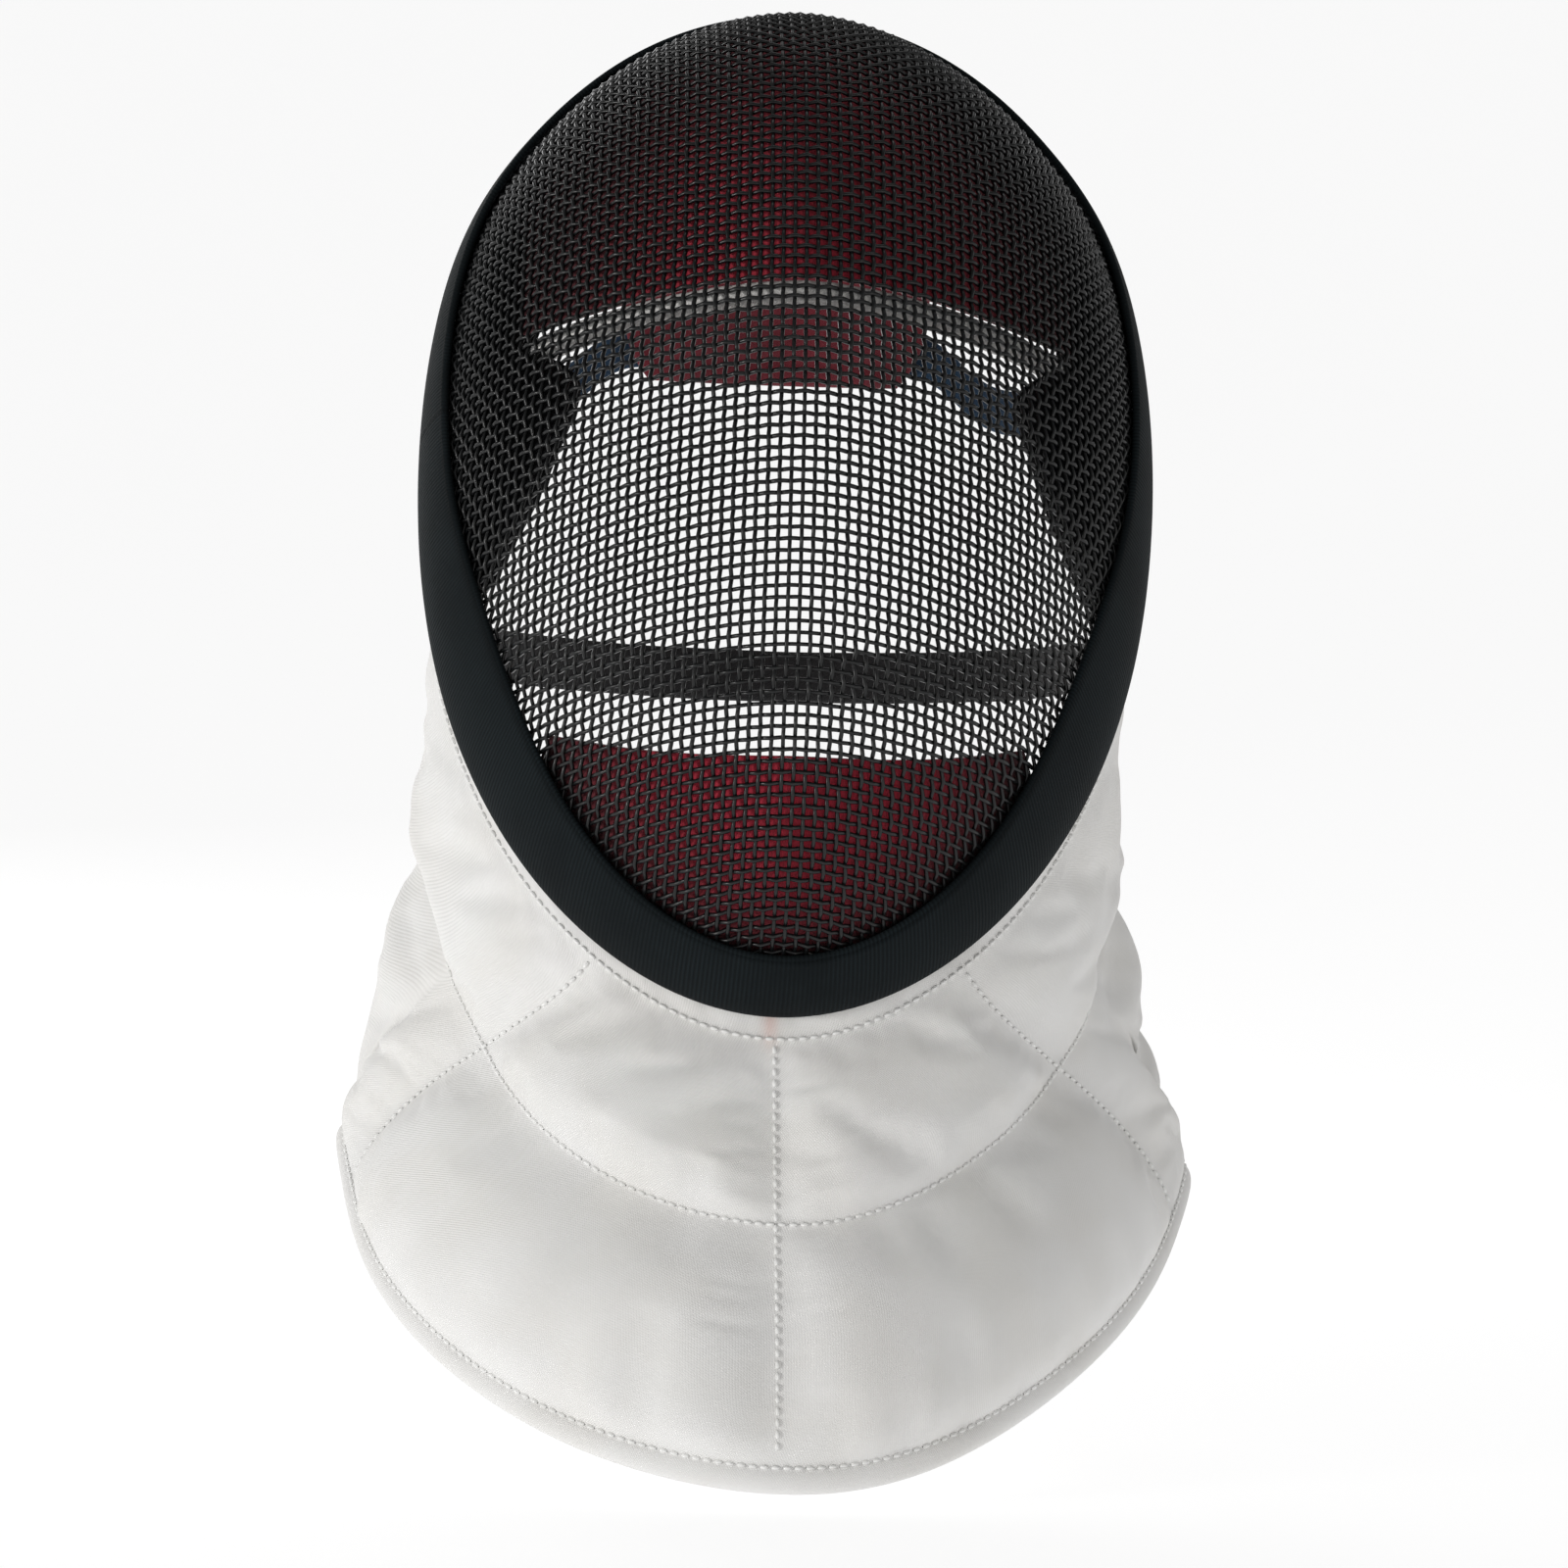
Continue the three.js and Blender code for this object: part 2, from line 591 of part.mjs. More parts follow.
// Direction across a band that follows the rim where fixed is 1 and stands upright where it is 0.
function standing(angle, side, fixed) {
  const hold = THREE.MathUtils.smoothstep(fixed, 0.2, 0.9);
  return new THREE.Vector3(0, 0, 1).lerp(rimEdge(angle, side), hold).normalize();
}

// Elastic strap behind the nape, from one side of the rim to the other
function napeStrap() {
  const right = rimPath(STRAP_RIM_ANGLE, STRAP_WALL, STRAP_LINE);
  const left = right.slice(0, -1).map(({ x, y, z }) => new THREE.Vector3(-x, y, z));
  const edge = (u) => standing(STRAP_RIM_ANGLE, u < 0.5 ? -1 : 1, Math.abs(2 * u - 1));
  const geometry = band([...left, ...right.toReversed()], STRAP_WIDTH, STRAP_WALL, 40, edge);
  return piece("nape_strap", geometry, CLOTH.black);
}

// Elastic stay from the rim to a lower corner of the tongue, on the right or the left
function stay(name, side) {
  const { along, from, to } = STAY_END;
  const sewn = [from, to].map((x) => {
    const across = (2 * x) / tongueWidth(along);
    const lift = tongueHalf((across + 1) / 2, along) + PAD_GAP + STAY_WALL / 2;
    return onTongue(across, along, lift);
  });
  const stops = [...rimPath(STAY_RIM_ANGLE, STAY_WALL, STAY_LINE), ...sewn];
  const edge = (u) => standing(STAY_RIM_ANGLE, side, 1 - u);
  stops.forEach((stop) => stop.setX(stop.x * side));
  return piece(name, band(stops, STAY_WIDTH, STAY_WALL, 18, edge), CLOTH.navy);
}

const mask = new THREE.Group();
mask.name = "fencing_mask";
mask.position.set(0, -SEAT.y, -SEAT.z);
mask.add(
  wireDome(),
  rimTrim(),
  quiltedBib(),
  crownPad(),
  crownPiping(),
  sidePad("side_pad_right", 1),
  sidePad("side_pad_left", -1),
  chinPad(),
  backTongue(),
  napeStrap(),
  stay("tongue_stay_right", 1),
  stay("tongue_stay_left", -1),
);

const part = new THREE.Group();
part.add(mask);

export default part;
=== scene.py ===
"""Fencing mask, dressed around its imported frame.

The wire dome is woven wire by wire, the rim is bound in ribbed cloth, and the quilted bib, the
pads, the tongue and the elastics are surfaces worked out on grids. Shapes are in millimetres
above the lowest point of the rim, and go into the meshes in metres from the crown seat.
"""

import logging
import math
from collections.abc import Callable, Sequence
from dataclasses import dataclass, field
from enum import Enum
from typing import NamedTuple

import bpy
import numpy as np
from mathutils import Matrix, Vector

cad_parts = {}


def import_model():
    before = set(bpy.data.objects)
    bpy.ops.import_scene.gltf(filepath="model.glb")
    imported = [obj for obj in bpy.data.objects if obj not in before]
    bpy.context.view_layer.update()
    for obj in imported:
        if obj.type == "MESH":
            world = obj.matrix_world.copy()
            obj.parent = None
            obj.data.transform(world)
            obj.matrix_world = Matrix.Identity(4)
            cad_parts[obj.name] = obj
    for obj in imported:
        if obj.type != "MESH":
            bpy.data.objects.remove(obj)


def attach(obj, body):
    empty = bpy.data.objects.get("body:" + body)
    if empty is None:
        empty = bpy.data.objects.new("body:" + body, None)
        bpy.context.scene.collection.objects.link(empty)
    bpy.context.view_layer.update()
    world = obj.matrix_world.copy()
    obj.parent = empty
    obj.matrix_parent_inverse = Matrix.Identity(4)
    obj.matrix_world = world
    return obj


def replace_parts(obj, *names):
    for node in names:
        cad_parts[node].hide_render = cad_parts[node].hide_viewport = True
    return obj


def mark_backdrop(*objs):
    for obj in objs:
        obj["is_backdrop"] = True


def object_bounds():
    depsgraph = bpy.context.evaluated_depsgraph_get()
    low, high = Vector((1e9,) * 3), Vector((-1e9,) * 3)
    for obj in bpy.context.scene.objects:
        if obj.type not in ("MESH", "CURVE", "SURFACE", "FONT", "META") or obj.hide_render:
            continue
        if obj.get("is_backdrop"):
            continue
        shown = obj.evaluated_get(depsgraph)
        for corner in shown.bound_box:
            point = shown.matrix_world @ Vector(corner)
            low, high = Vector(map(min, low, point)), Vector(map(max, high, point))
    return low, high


Array = np.ndarray
LOG = logging.getLogger("fencing_mask")

MM = 0.001
UP = np.array([0.0, 0.0, 1.0])

# Millimetres: the crown seat above the rim's lowest point, and sizes that several pieces share.
SEAT = np.array([0.0, -50.0, 265.0])
WIRE_HALF = 1.0
TRIM_WALL = 2.2
GAP = 0.4
PAD_GAP = 1.1


class Slot(Enum):
    """Material slots of the record."""

    WIRE = "wire"
    TRIM = "trim_cloth"
    BIB = "bib_cloth"
    PAD = "pad_cloth"
    SIDE_PAD = "side_pad_cloth"
    PIPING = "piping_cloth"
    TONGUE = "tongue_cloth"
    STRAP = "strap_elastic"
    STAY = "stay_elastic"


class Ends(Enum):
    """How a spline leaves its first and last point."""

    LEVEL = "level"
    FREE = "free"


class DomeSection(NamedTuple):
    """One section of the dome: angle in degrees up from the pole, and its sizes."""

    angle: float
    radius: float
    full: float
    trim: float


class BibSection(NamedTuple):
    """One section of the bib: degrees round the rim from the chin, hem point and handles."""

    turn: float
    hem_x: float
    hem_y: float
    hem_z: float
    lean: float
    drop: float
    tuck: float
    rise: float


class PadEdge(NamedTuple):
    """Inner edge of a side pad: degrees up from the pole, and distance out from it."""

    angle: float
    reach: float


class Crease(NamedTuple):
    """A soft crease: its middle, its half length in degrees, half width in share, and height."""

    turn: float
    share: float
    run: float
    breadth: float
    rise: float


DOME_SECTIONS = (
    DomeSection(-90, 162, 1.85, 28),
    DomeSection(-70, 149.5, 1.68, 32),
    DomeSection(-53, 131.5, 1.52, 37),
    DomeSection(-37, 117, 1.55, 38),
    DomeSection(-17, 105.5, 1.8, 35),
    DomeSection(5, 102.5, 2, 32),
    DomeSection(21, 106.5, 2.05, 30),
    DomeSection(40, 116, 2.08, 29),
    DomeSection(52, 122, 2.1, 28),
    DomeSection(70, 132, 2.15, 28),
    DomeSection(90, 137, 2.2, 28),
)

BIB_SECTIONS = (
    BibSection(-80, -112, 30, -22, -7, 66, 8, 38),
    BibSection(-60, -120, 16, -36, -4, 56, 9, 36),
    BibSection(-40, -121, 0, -49, -4, 38, 10, 38),
    BibSection(-19, -120, -20, -63, 9, 26, 9, 38),
    BibSection(-12, -101, -65, -92, 9, 32, 6, 40),
    BibSection(-6, -55, -103, -118, 9, 38, 5, 42),
    BibSection(0, 5, -120, -128, 9, 40, 5, 42),
    BibSection(6, 56, -102, -118, 9, 38, 5, 42),
    BibSection(12, 99, -63, -92, 9, 32, 6, 40),
    BibSection(19, 122, -18, -66, 9, 26, 9, 38),
    BibSection(40, 122, 0, -53, -6, 38, 11, 38),
    BibSection(60, 118, 16, -38, -7, 56, 11, 38),
    BibSection(80, 110, 30, -24, -11, 66, 10, 40),
)

BIB_CREASES = (
    Crease(-62, 0.45, 26, 0.06, -6),
    Crease(-58, 0.6, 22, 0.07, 3),
    Crease(62, 0.46, 24, 0.055, -7),
    Crease(56, 0.59, 20, 0.05, 3.5),
    Crease(60, 0.71, 20, 0.05, -3),
    Crease(54, 0.83, 18, 0.05, 2.5),
)

# Finer than the solid has them.
BIB_WRINKLES = (
    Crease(-60, 0.35, 20, 0.028, 2.0),
    Crease(-55, 0.53, 16, 0.022, -1.8),
    Crease(58, 0.39, 16, 0.024, 2.4),
    Crease(52, 0.53, 14, 0.020, -2.4),
    Crease(60, 0.65, 18, 0.020, 2.4),
    Crease(50, 0.77, 14, 0.020, -2.0),
)

SIDE_PAD_EDGE = (
    PadEdge(-32, 103),
    PadEdge(-28, 93),
    PadEdge(-21, 79),
    PadEdge(-13, 70),
    PadEdge(-5, 69),
    PadEdge(1, 75),
    PadEdge(5, 80),
    PadEdge(20, 86),
    PadEdge(38, 102),
)


def unit(vectors: Array) -> Array:
    """Vectors divided by their lengths."""
    return vectors / np.maximum(np.linalg.norm(vectors, axis=-1, keepdims=True), 1e-12)


def mix(a: Array | float, b: Array | float, share: Array | float) -> Array:
    """Straight blend from a to b."""
    return a + (b - a) * share


def ease(value: Array, low: float, high: float) -> Array:
    """Smooth ramp from 0 at low to 1 at high."""
    t = np.clip((value - low) / (high - low), 0.0, 1.0)
    return t * t * (3.0 - 2.0 * t)


def wobble(along: Array, step: float, seed: int) -> Array:
    """Irregular wave between -1 and 1: seeded knots every step, joined by smooth ramps.

    Args:
        along: Places on the wave.
        step: Distance between knots.
        seed: Choice of knots.

    Returns:
        Height of the wave at each place.
    """
    knots = np.random.default_rng(seed).uniform(-1.0, 1.0, 1024)
    place = along / step + 512.0
    whole = np.floor(place).astype(int)
    part = ease(place - whole, 0.0, 1.0)
    return mix(knots[whole % 1024], knots[(whole + 1) % 1024], part)


def lengths(points: Array) -> Array:
    """Length along each curve from its first point; a curve's points are the last axis but one."""
    length = np.linalg.norm(np.diff(points, axis=-2), axis=-1).cumsum(axis=-1)
    return np.pad(length, [(0, 0)] * (length.ndim - 1) + [(1, 0)])


def resample(rows: Array, length: Array, at: Array) -> Array:
    """Rows of values, known at lengths, read at other lengths."""
    return np.stack([np.interp(at, length, column) for column in rows.T], axis=-1)


def nearest(values: Array, wanted: float) -> int:
    """Index of the value closest to the one wanted."""
    return int(np.abs(values - wanted).argmin())


def cubic(t: Array, p0: Array, p1: Array, p2: Array, p3: Array) -> Array:
    """Points of a cubic Bezier curve at shares of the way along it."""
    a = 1.0 - t
    return a**3 * p0 + 3 * a * a * t * p1 + 3 * a * t * t * p2 + t**3 * p3


def edged_grid(columns: int, rows: int) -> tuple[Array, Array]:
    """Shares across and along a pad, closer together towards its border."""
    u, v = np.meshgrid(np.linspace(0.0, 1.0, columns), np.linspace(0.0, 1.0, rows))
    return 0.5 - 0.5 * np.cos(np.pi * u), 0.5 - 0.5 * np.cos(np.pi * v)


class Spline:
    """Cubic spline through one column of a table."""

    def __init__(self, at: Sequence[float], values: Sequence[float], ends: Ends) -> None:
        """Solve for the second derivatives that make the slope continuous.

        Args:
            at: Increasing key values.
            values: The column's value at each key.
            ends: Level ends have no slope, free ends have no bend.
        """
        self.at = np.asarray(at, dtype=float)
        self.values = np.asarray(values, dtype=float)
        step = np.diff(self.at)
        slope = np.diff(self.values) / step
        before = np.append(0.0, step)
        after = np.append(step, 0.0)
        system = np.diag(2.0 * (before + after)) + np.diag(step, 1) + np.diag(step, -1)
        knee = 6.0 * (np.append(slope, 0.0) - np.append(0.0, slope))
        if ends is Ends.FREE:
            system[[0, -1]] = np.eye(len(self.at))[[0, -1]]
            knee[[0, -1]] = 0.0
        self.bend = np.linalg.solve(system, knee)

    def __call__(self, at: Array | float) -> Array:
        """Value of the spline at each place."""
        at = np.asarray(at, dtype=float)
        i = np.clip(np.searchsorted(self.at, at) - 1, 0, len(self.at) - 2)
        step = self.at[i + 1] - self.at[i]
        b = (at - self.at[i]) / step
        a = 1.0 - b
        curve = (a**3 - a) * self.bend[i] + (b**3 - b) * self.bend[i + 1]
        return a * self.values[i] + b * self.values[i + 1] + curve * step * step / 6.0


def splines(rows: Sequence[NamedTuple], ends: Ends) -> dict[str, Spline]:
    """One spline for each column of a table, keyed by its first column."""
    keys = [row[0] for row in rows]
    names = rows[0]._fields[1:]
    return {name: Spline(keys, [getattr(row, name) for row in rows], ends) for name in names}


@dataclass
class Skin:
    """Points and faces of one closed mesh, with a cloth map in millimetres where it has one."""

    points: Array
    faces: list[Array]
    cloth: Array | None = None
    marks: dict[str, Array] = field(default_factory=dict)

    def outward(self) -> "Skin":
        """Turn all faces over if they enclose a negative volume."""
        middle = self.points.mean(axis=0)
        volume = 0.0
        for block in self.faces:
            corners = self.points[block[:, :3]] - middle
            volume += np.einsum("ij,ij->", corners[:, 0], np.cross(corners[:, 1], corners[:, 2]))
        if volume < 0:
            self.faces = [block[:, ::-1] for block in self.faces]
        return self


def grid_quads(index: Array) -> Array:
    """Four-sided faces between neighbouring rows and columns of a grid of indices."""
    return np.stack(
        [index[:-1, :-1], index[:-1, 1:], index[1:, 1:], index[1:, :-1]], axis=-1
    ).reshape(-1, 4)


def slab(front: Array, back: Array, cloth: Array | None = None) -> Skin:
    """Closed skin of two grids of points, joined round their common border.

    Args:
        front: Points of one face, rows by columns by three.
        back: Points of the other face.
        cloth: Place of each grid point on the cloth, in millimetres.

    Returns:
        The closed skin.
    """
    rows, columns = front.shape[:2]
    shift = rows * columns
    near = np.arange(shift).reshape(rows, columns)
    border = np.concatenate([near[0, :-1], near[:-1, -1], near[-1, :0:-1], near[:0:-1, 0]])
    after = np.roll(border, -1)
    rim = np.stack([after, border, border + shift, after + shift], axis=-1)
    points = np.concatenate([front.reshape(-1, 3), back.reshape(-1, 3)])
    mapped = None if cloth is None else np.concatenate([cloth.reshape(-1, 2)] * 2)
    faces = [grid_quads(near), grid_quads(near + shift)[:, ::-1], rim]
    return Skin(points, faces, mapped).outward()


def tubes(line: Array, lift: Array, keep: Array, radius: Array | float, sides: int) -> Skin:
    """Round tubes along rows of points, each run of kept points closed at both ends.

    Each ring is the point plus the radius times a circle in the plane of the lift direction
    and the cross product of that direction with the row's own direction.

    Args:
        line: Points, rows by stations by three.
        lift: Direction off the surface at each point.
        keep: True where a row has its tube.
        radius: Radius at each station.
        sides: Flats round the tube.

    Returns:
        The closed skin of all the tubes.
    """
    rows, stations = line.shape[:2]
    run = unit(np.gradient(line, axis=1))
    side = unit(np.cross(run, lift))
    rise = np.cross(side, run)
    turn = np.arange(sides) * 2.0 * np.pi / sides
    size = np.broadcast_to(radius, (rows, stations))[..., None, None]
    circle = np.cos(turn)[:, None] * rise[:, :, None] + np.sin(turn)[:, None] * side[:, :, None]
    points = line[:, :, None] + size * circle
    index = np.arange(rows * stations * sides).reshape(rows, stations, sides)
    whole = keep[:, :-1] & keep[:, 1:]
    near, far = index[:, :-1][whole], index[:, 1:][whole]
    walls = np.stack(
        [near, np.roll(near, -1, axis=-1), np.roll(far, -1, axis=-1), far], axis=-1
    ).reshape(-1, 4)
    ahead = np.pad(whole, ((0, 0), (0, 1)))
    behind = np.pad(whole, ((0, 0), (1, 0)))
    caps = [index[ahead & ~behind][:, ::-1], index[behind & ~ahead]]
    used = np.unique(np.concatenate([walls.ravel()] + [cap.ravel() for cap in caps]))
    renumber = np.zeros(index.size, dtype=int)
    renumber[used] = np.arange(used.size)
    faces = [renumber[walls]] + [renumber[cap] for cap in caps if cap.size]
    crest = np.broadcast_to(np.cos(turn), index.shape).ravel()[used]
    return Skin(points.reshape(-1, 3)[used], faces, marks={"crest": crest}).outward()


def placed(name: str, data: bpy.types.ID) -> bpy.types.Object:
    """New object of a mesh, light or camera, linked to the scene."""
    obj = bpy.data.objects.new(name, data)
    bpy.context.scene.collection.objects.link(obj)
    return obj


def piece(name: str, skin: Skin, finish: "Finish") -> bpy.types.Object:
    """Put a skin into a mesh object at the origin, give it its finish and let it ride the frame.

    Args:
        name: Name of the piece.
        skin: Points in millimetres above the rim's lowest point, with faces.
        finish: Surface of the piece.

    Returns:
        The new object.
    """
    mesh = bpy.data.meshes.new(name)
    faces = [face for block in skin.faces for face in block.tolist()]
    mesh.from_pydata(((skin.points - SEAT) * MM).tolist(), [], faces)
    if skin.cloth is not None:
        corner = np.empty(len(mesh.loops), dtype=np.int32)
        mesh.loops.foreach_get("vertex_index", corner)
        layer = mesh.uv_layers.new(name="cloth")
        layer.data.foreach_set("uv", skin.cloth[corner].astype(np.float32).ravel())
    for mark, values in skin.marks.items():
        layer = mesh.attributes.new(name=mark, type="FLOAT", domain="POINT")
        layer.data.foreach_set("value", values.astype(np.float32))
    mesh.shade_smooth()
    mesh.materials.append(finish.material())
    obj = placed(name, mesh)
    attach(obj, "root")
    LOG.info("%s: %d points, %d faces", name, len(mesh.vertices), len(mesh.polygons))
    return obj


@dataclass(frozen=True)
class Dome:
    """The formed face of the mask: a bulging cap on a leaning rim, keeled down its middle."""

    lean: float = math.radians(21.5)
    rim_ahead: float = 88.5
    pole_rise: float = 130.0
    height: float = 103.5
    round: float = 2.1
    keel_slope: float = 0.2
    keel_round: float = 10.0
    columns: dict[str, Spline] = field(
        default_factory=lambda: splines(DOME_SECTIONS, Ends.LEVEL)
    )

    def column(self, name: str, angle: Array) -> Array:
        """Value of a table column at angles on either side, the two sides being alike."""
        return self.columns[name](90.0 - np.abs((np.asarray(angle) + 90.0) % 360.0 - 180.0))

    def stand(self, x: Array, up: Array, ahead: Array) -> Array:
        """Points from their places across, up the rim and ahead of it, turned by the lean."""
        x, up, ahead = np.broadcast_arrays(x, up, ahead)
        sin, cos = math.sin(self.lean), math.cos(self.lean)
        return np.stack([x, up * sin - ahead * cos, up * cos + ahead * sin], axis=-1)

    def drop(self, x: Array) -> Array:
        """How far the keel has fallen away from its middle."""
        return self.keel_slope * (np.hypot(x, self.keel_round) - self.keel_round)

    def point(self, angle: Array, share: Array) -> Array:
        """Points at angles round the pole and shares of the way from the pole to the rim."""
        angle, share = np.broadcast_arrays(np.asarray(angle, float), np.asarray(share, float))
        swing = share * np.pi / 2.0
        reach = self.column("radius", angle) * np.sin(swing) ** (2.0 / self.round)
        x = reach * np.cos(np.radians(angle))
        up = self.pole_rise + reach * np.sin(np.radians(angle))
        bulge = np.maximum(np.cos(swing), 0.0) ** (2.0 / self.column("full", angle))
        return self.stand(x, up, self.rim_ahead + (self.height - self.drop(x)) * bulge)

    def run(self, angle: Array, share: Array) -> Array:
        """Direction of a section towards the rim."""
        top = np.minimum(share, 0.998)
        return unit(self.point(angle, top + 0.002) - self.point(angle, top))

    def normal(self, angle: Array, share: Array) -> Array:
        """Direction straight out of the dome."""
        share = np.clip(share, 0.004, 1.0)
        angle = np.asarray(angle)
        across = self.point(angle + 0.2, share) - self.point(angle - 0.2, share)
        return unit(np.cross(self.run(angle, share), across))

    def share_at_inset(self, angle: Array, inset: Array) -> Array:
        """Share of the way to the rim at a length back from it along each section.

        Args:
            angle: One angle for each row.
            inset: Lengths back from the rim, rows by columns.

        Returns:
            Shares, rows by columns.
        """
        shares = 1.0 - np.linspace(0.0, 1.0, 201) ** 1.5
        line = self.point(angle[:, None], shares[None])
        length = lengths(line)
        row = np.arange(len(angle))[:, None] * 1e4
        every = np.broadcast_to(shares, length.shape)
        return np.interp(np.maximum(inset, 0.0) + row, (length + row).ravel(), every.ravel())

    def on(self, angle: Array, inset: Array, lift: Array) -> Array:
        """Points at lengths back from the rim and heights off the dome; rows go with angles."""
        inset = np.broadcast_to(inset, (len(angle), np.shape(inset)[-1]))
        share = self.share_at_inset(angle, inset)
        turn = angle[:, None]
        past = np.maximum(-inset, 0.0)[..., None]
        rise = np.broadcast_to(lift, inset.shape)[..., None]
        foot = self.point(turn, share) + self.run(turn, share) * past
        return foot + self.normal(turn, share) * rise

    def share_at_reach(self, angle: Array, reach: Array) -> Array:
        """Share of the way to the rim where a section is a given distance out from the pole."""
        part = np.clip(reach / self.column("radius", angle), 0.0, 1.0)
        return np.arcsin(part ** (self.round / 2.0)) * 2.0 / np.pi

    def polar(self, x: Array, up: Array) -> tuple[Array, Array]:
        """Angles round the pole, and distances from it, of places across and up the rim."""
        rise = up - self.pole_rise
        return np.degrees(np.arctan2(rise, x)), np.hypot(x, rise)

    def under(self, x: Array, up: Array, lift: Array | float) -> Array:
        """Points at places across and up the rim, lifted off the dome (down if negative)."""
        angle, reach = self.polar(x, up)
        share = self.share_at_reach(angle, reach)
        return self.point(angle, share) + self.normal(angle, share) * np.asarray(lift)[..., None]

    def height_at(self, x: Array, up: Array) -> Array:
        """How far ahead of the rim plane the dome stands: the bulge worked out from the reach."""
        angle, reach = self.polar(x, up)
        part = np.clip(reach / self.column("radius", angle), 0.0, 1.0)
        bulge = (1.0 - part**self.round) ** (1.0 / self.column("full", angle))
        return (self.height - self.drop(x)) * bulge


@dataclass
class WireWeave:
    """Plain weave of black wire, formed over the dome."""

    dome: Dome
    pitch: float = 3.1
    radius: float = 0.6
    crimp: float = 0.57
    sides: int = 6
    tucked: float = 7.0
    steepest: float = 14.0
    probe: float = 0.4

    def places(self, angle: float, across: bool) -> Array:
        """Distances from the pole of the wires that cross one section.

        Args:
            angle: Angle of the section.
            across: True for distances sideways, False for distances up the rim.

        Returns:
            Distances of wires one pitch apart along the section, outwards from the pole.
        """
        share = np.linspace(0.0, 1.0, 801)
        length = lengths(self.dome.point(angle, share))
        swing = np.sin(share * np.pi / 2.0) ** (2.0 / self.dome.round)
        turn = math.radians(angle)
        reach = self.dome.column("radius", angle) * swing
        steps = np.arange(1, int(length[-1] / self.pitch) + 1) * self.pitch
        return np.interp(steps, length, reach * abs(math.cos(turn) if across else math.sin(turn)))

    def family(self, x: Array, up: Array, phase: Array, upright: bool) -> Skin:
        """Tubes of one set of wires.

        The wire goes over one neighbour and under the next: its height off the dome is the crimp
        at a crossing, with the sign of that crossing, and nothing halfway between.

        Args:
            x: Places across, wires by stations.
            up: Places up the rim.
            phase: Height at each station, in crimps.
            upright: True where the wires run up, False where they run across.

        Returns:
            The closed skin of the set.
        """
        dome = self.dome
        reach = dome.height_at(x, up)
        near = self.probe
        slope_x = (dome.height_at(x + near, up) - dome.height_at(x - near, up)) / (2 * near)
        slope_up = (dome.height_at(x, up + near) - dome.height_at(x, up - near)) / (2 * near)
        out = unit(np.stack([-slope_x, -slope_up, np.ones_like(x)], axis=-1))
        line = np.stack([x, up, reach], axis=-1) + out * (phase * self.crimp)[..., None]
        steep = np.abs(slope_up if upright else slope_x) > self.steepest
        keep = (reach > self.tucked) & ~steep
        skin = tubes(line, out, keep, self.radius, self.sides)
        x, up, ahead = skin.points.T
        skin.points = dome.stand(x, up, ahead + dome.rim_ahead)
        return skin

    def build(self, finish: "Finish") -> None:
        """Weave the two sets of wires, each in two halves."""
        out = self.places(0.0, True)
        x = np.concatenate([-out[::-1], [0.0], out])
        below = self.places(-90.0, False)
        above = self.places(90.0, False)
        up = self.dome.pole_rise + np.concatenate([-below[::-1], [0.0], above])
        sign = np.where((np.arange(len(x))[:, None] + np.arange(len(up))) % 2, -1.0, 1.0)

        def halfway(values: Array) -> Array:
            """Values with their midpoints put between them."""
            both = np.empty(values.shape[:-1] + (2 * values.shape[-1] - 1,))
            both[..., ::2] = values
            both[..., 1::2] = (values[..., 1:] + values[..., :-1]) / 2.0
            return both

        far_x, far_up = np.meshgrid(x, halfway(up), indexing="ij")
        uprights = (far_x, far_up, halfway(sign))
        far_up, far_x = np.meshgrid(up, halfway(x), indexing="ij")
        crossers = (far_x, far_up, halfway(-sign.T))
        half, middle = len(x) // 2, len(up) // 2
        parts = (
            ("wire_upright_left", [a[:half] for a in uprights], True),
            ("wire_upright_right", [a[half:] for a in uprights], True),
            ("wire_cross_lower", [a[:middle] for a in crossers], False),
            ("wire_cross_upper", [a[middle:] for a in crossers], False),
        )
        for name, arrays, upright in parts:
            obj = piece(name, self.family(*arrays, upright), finish)
            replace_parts(obj, "wire_dome")


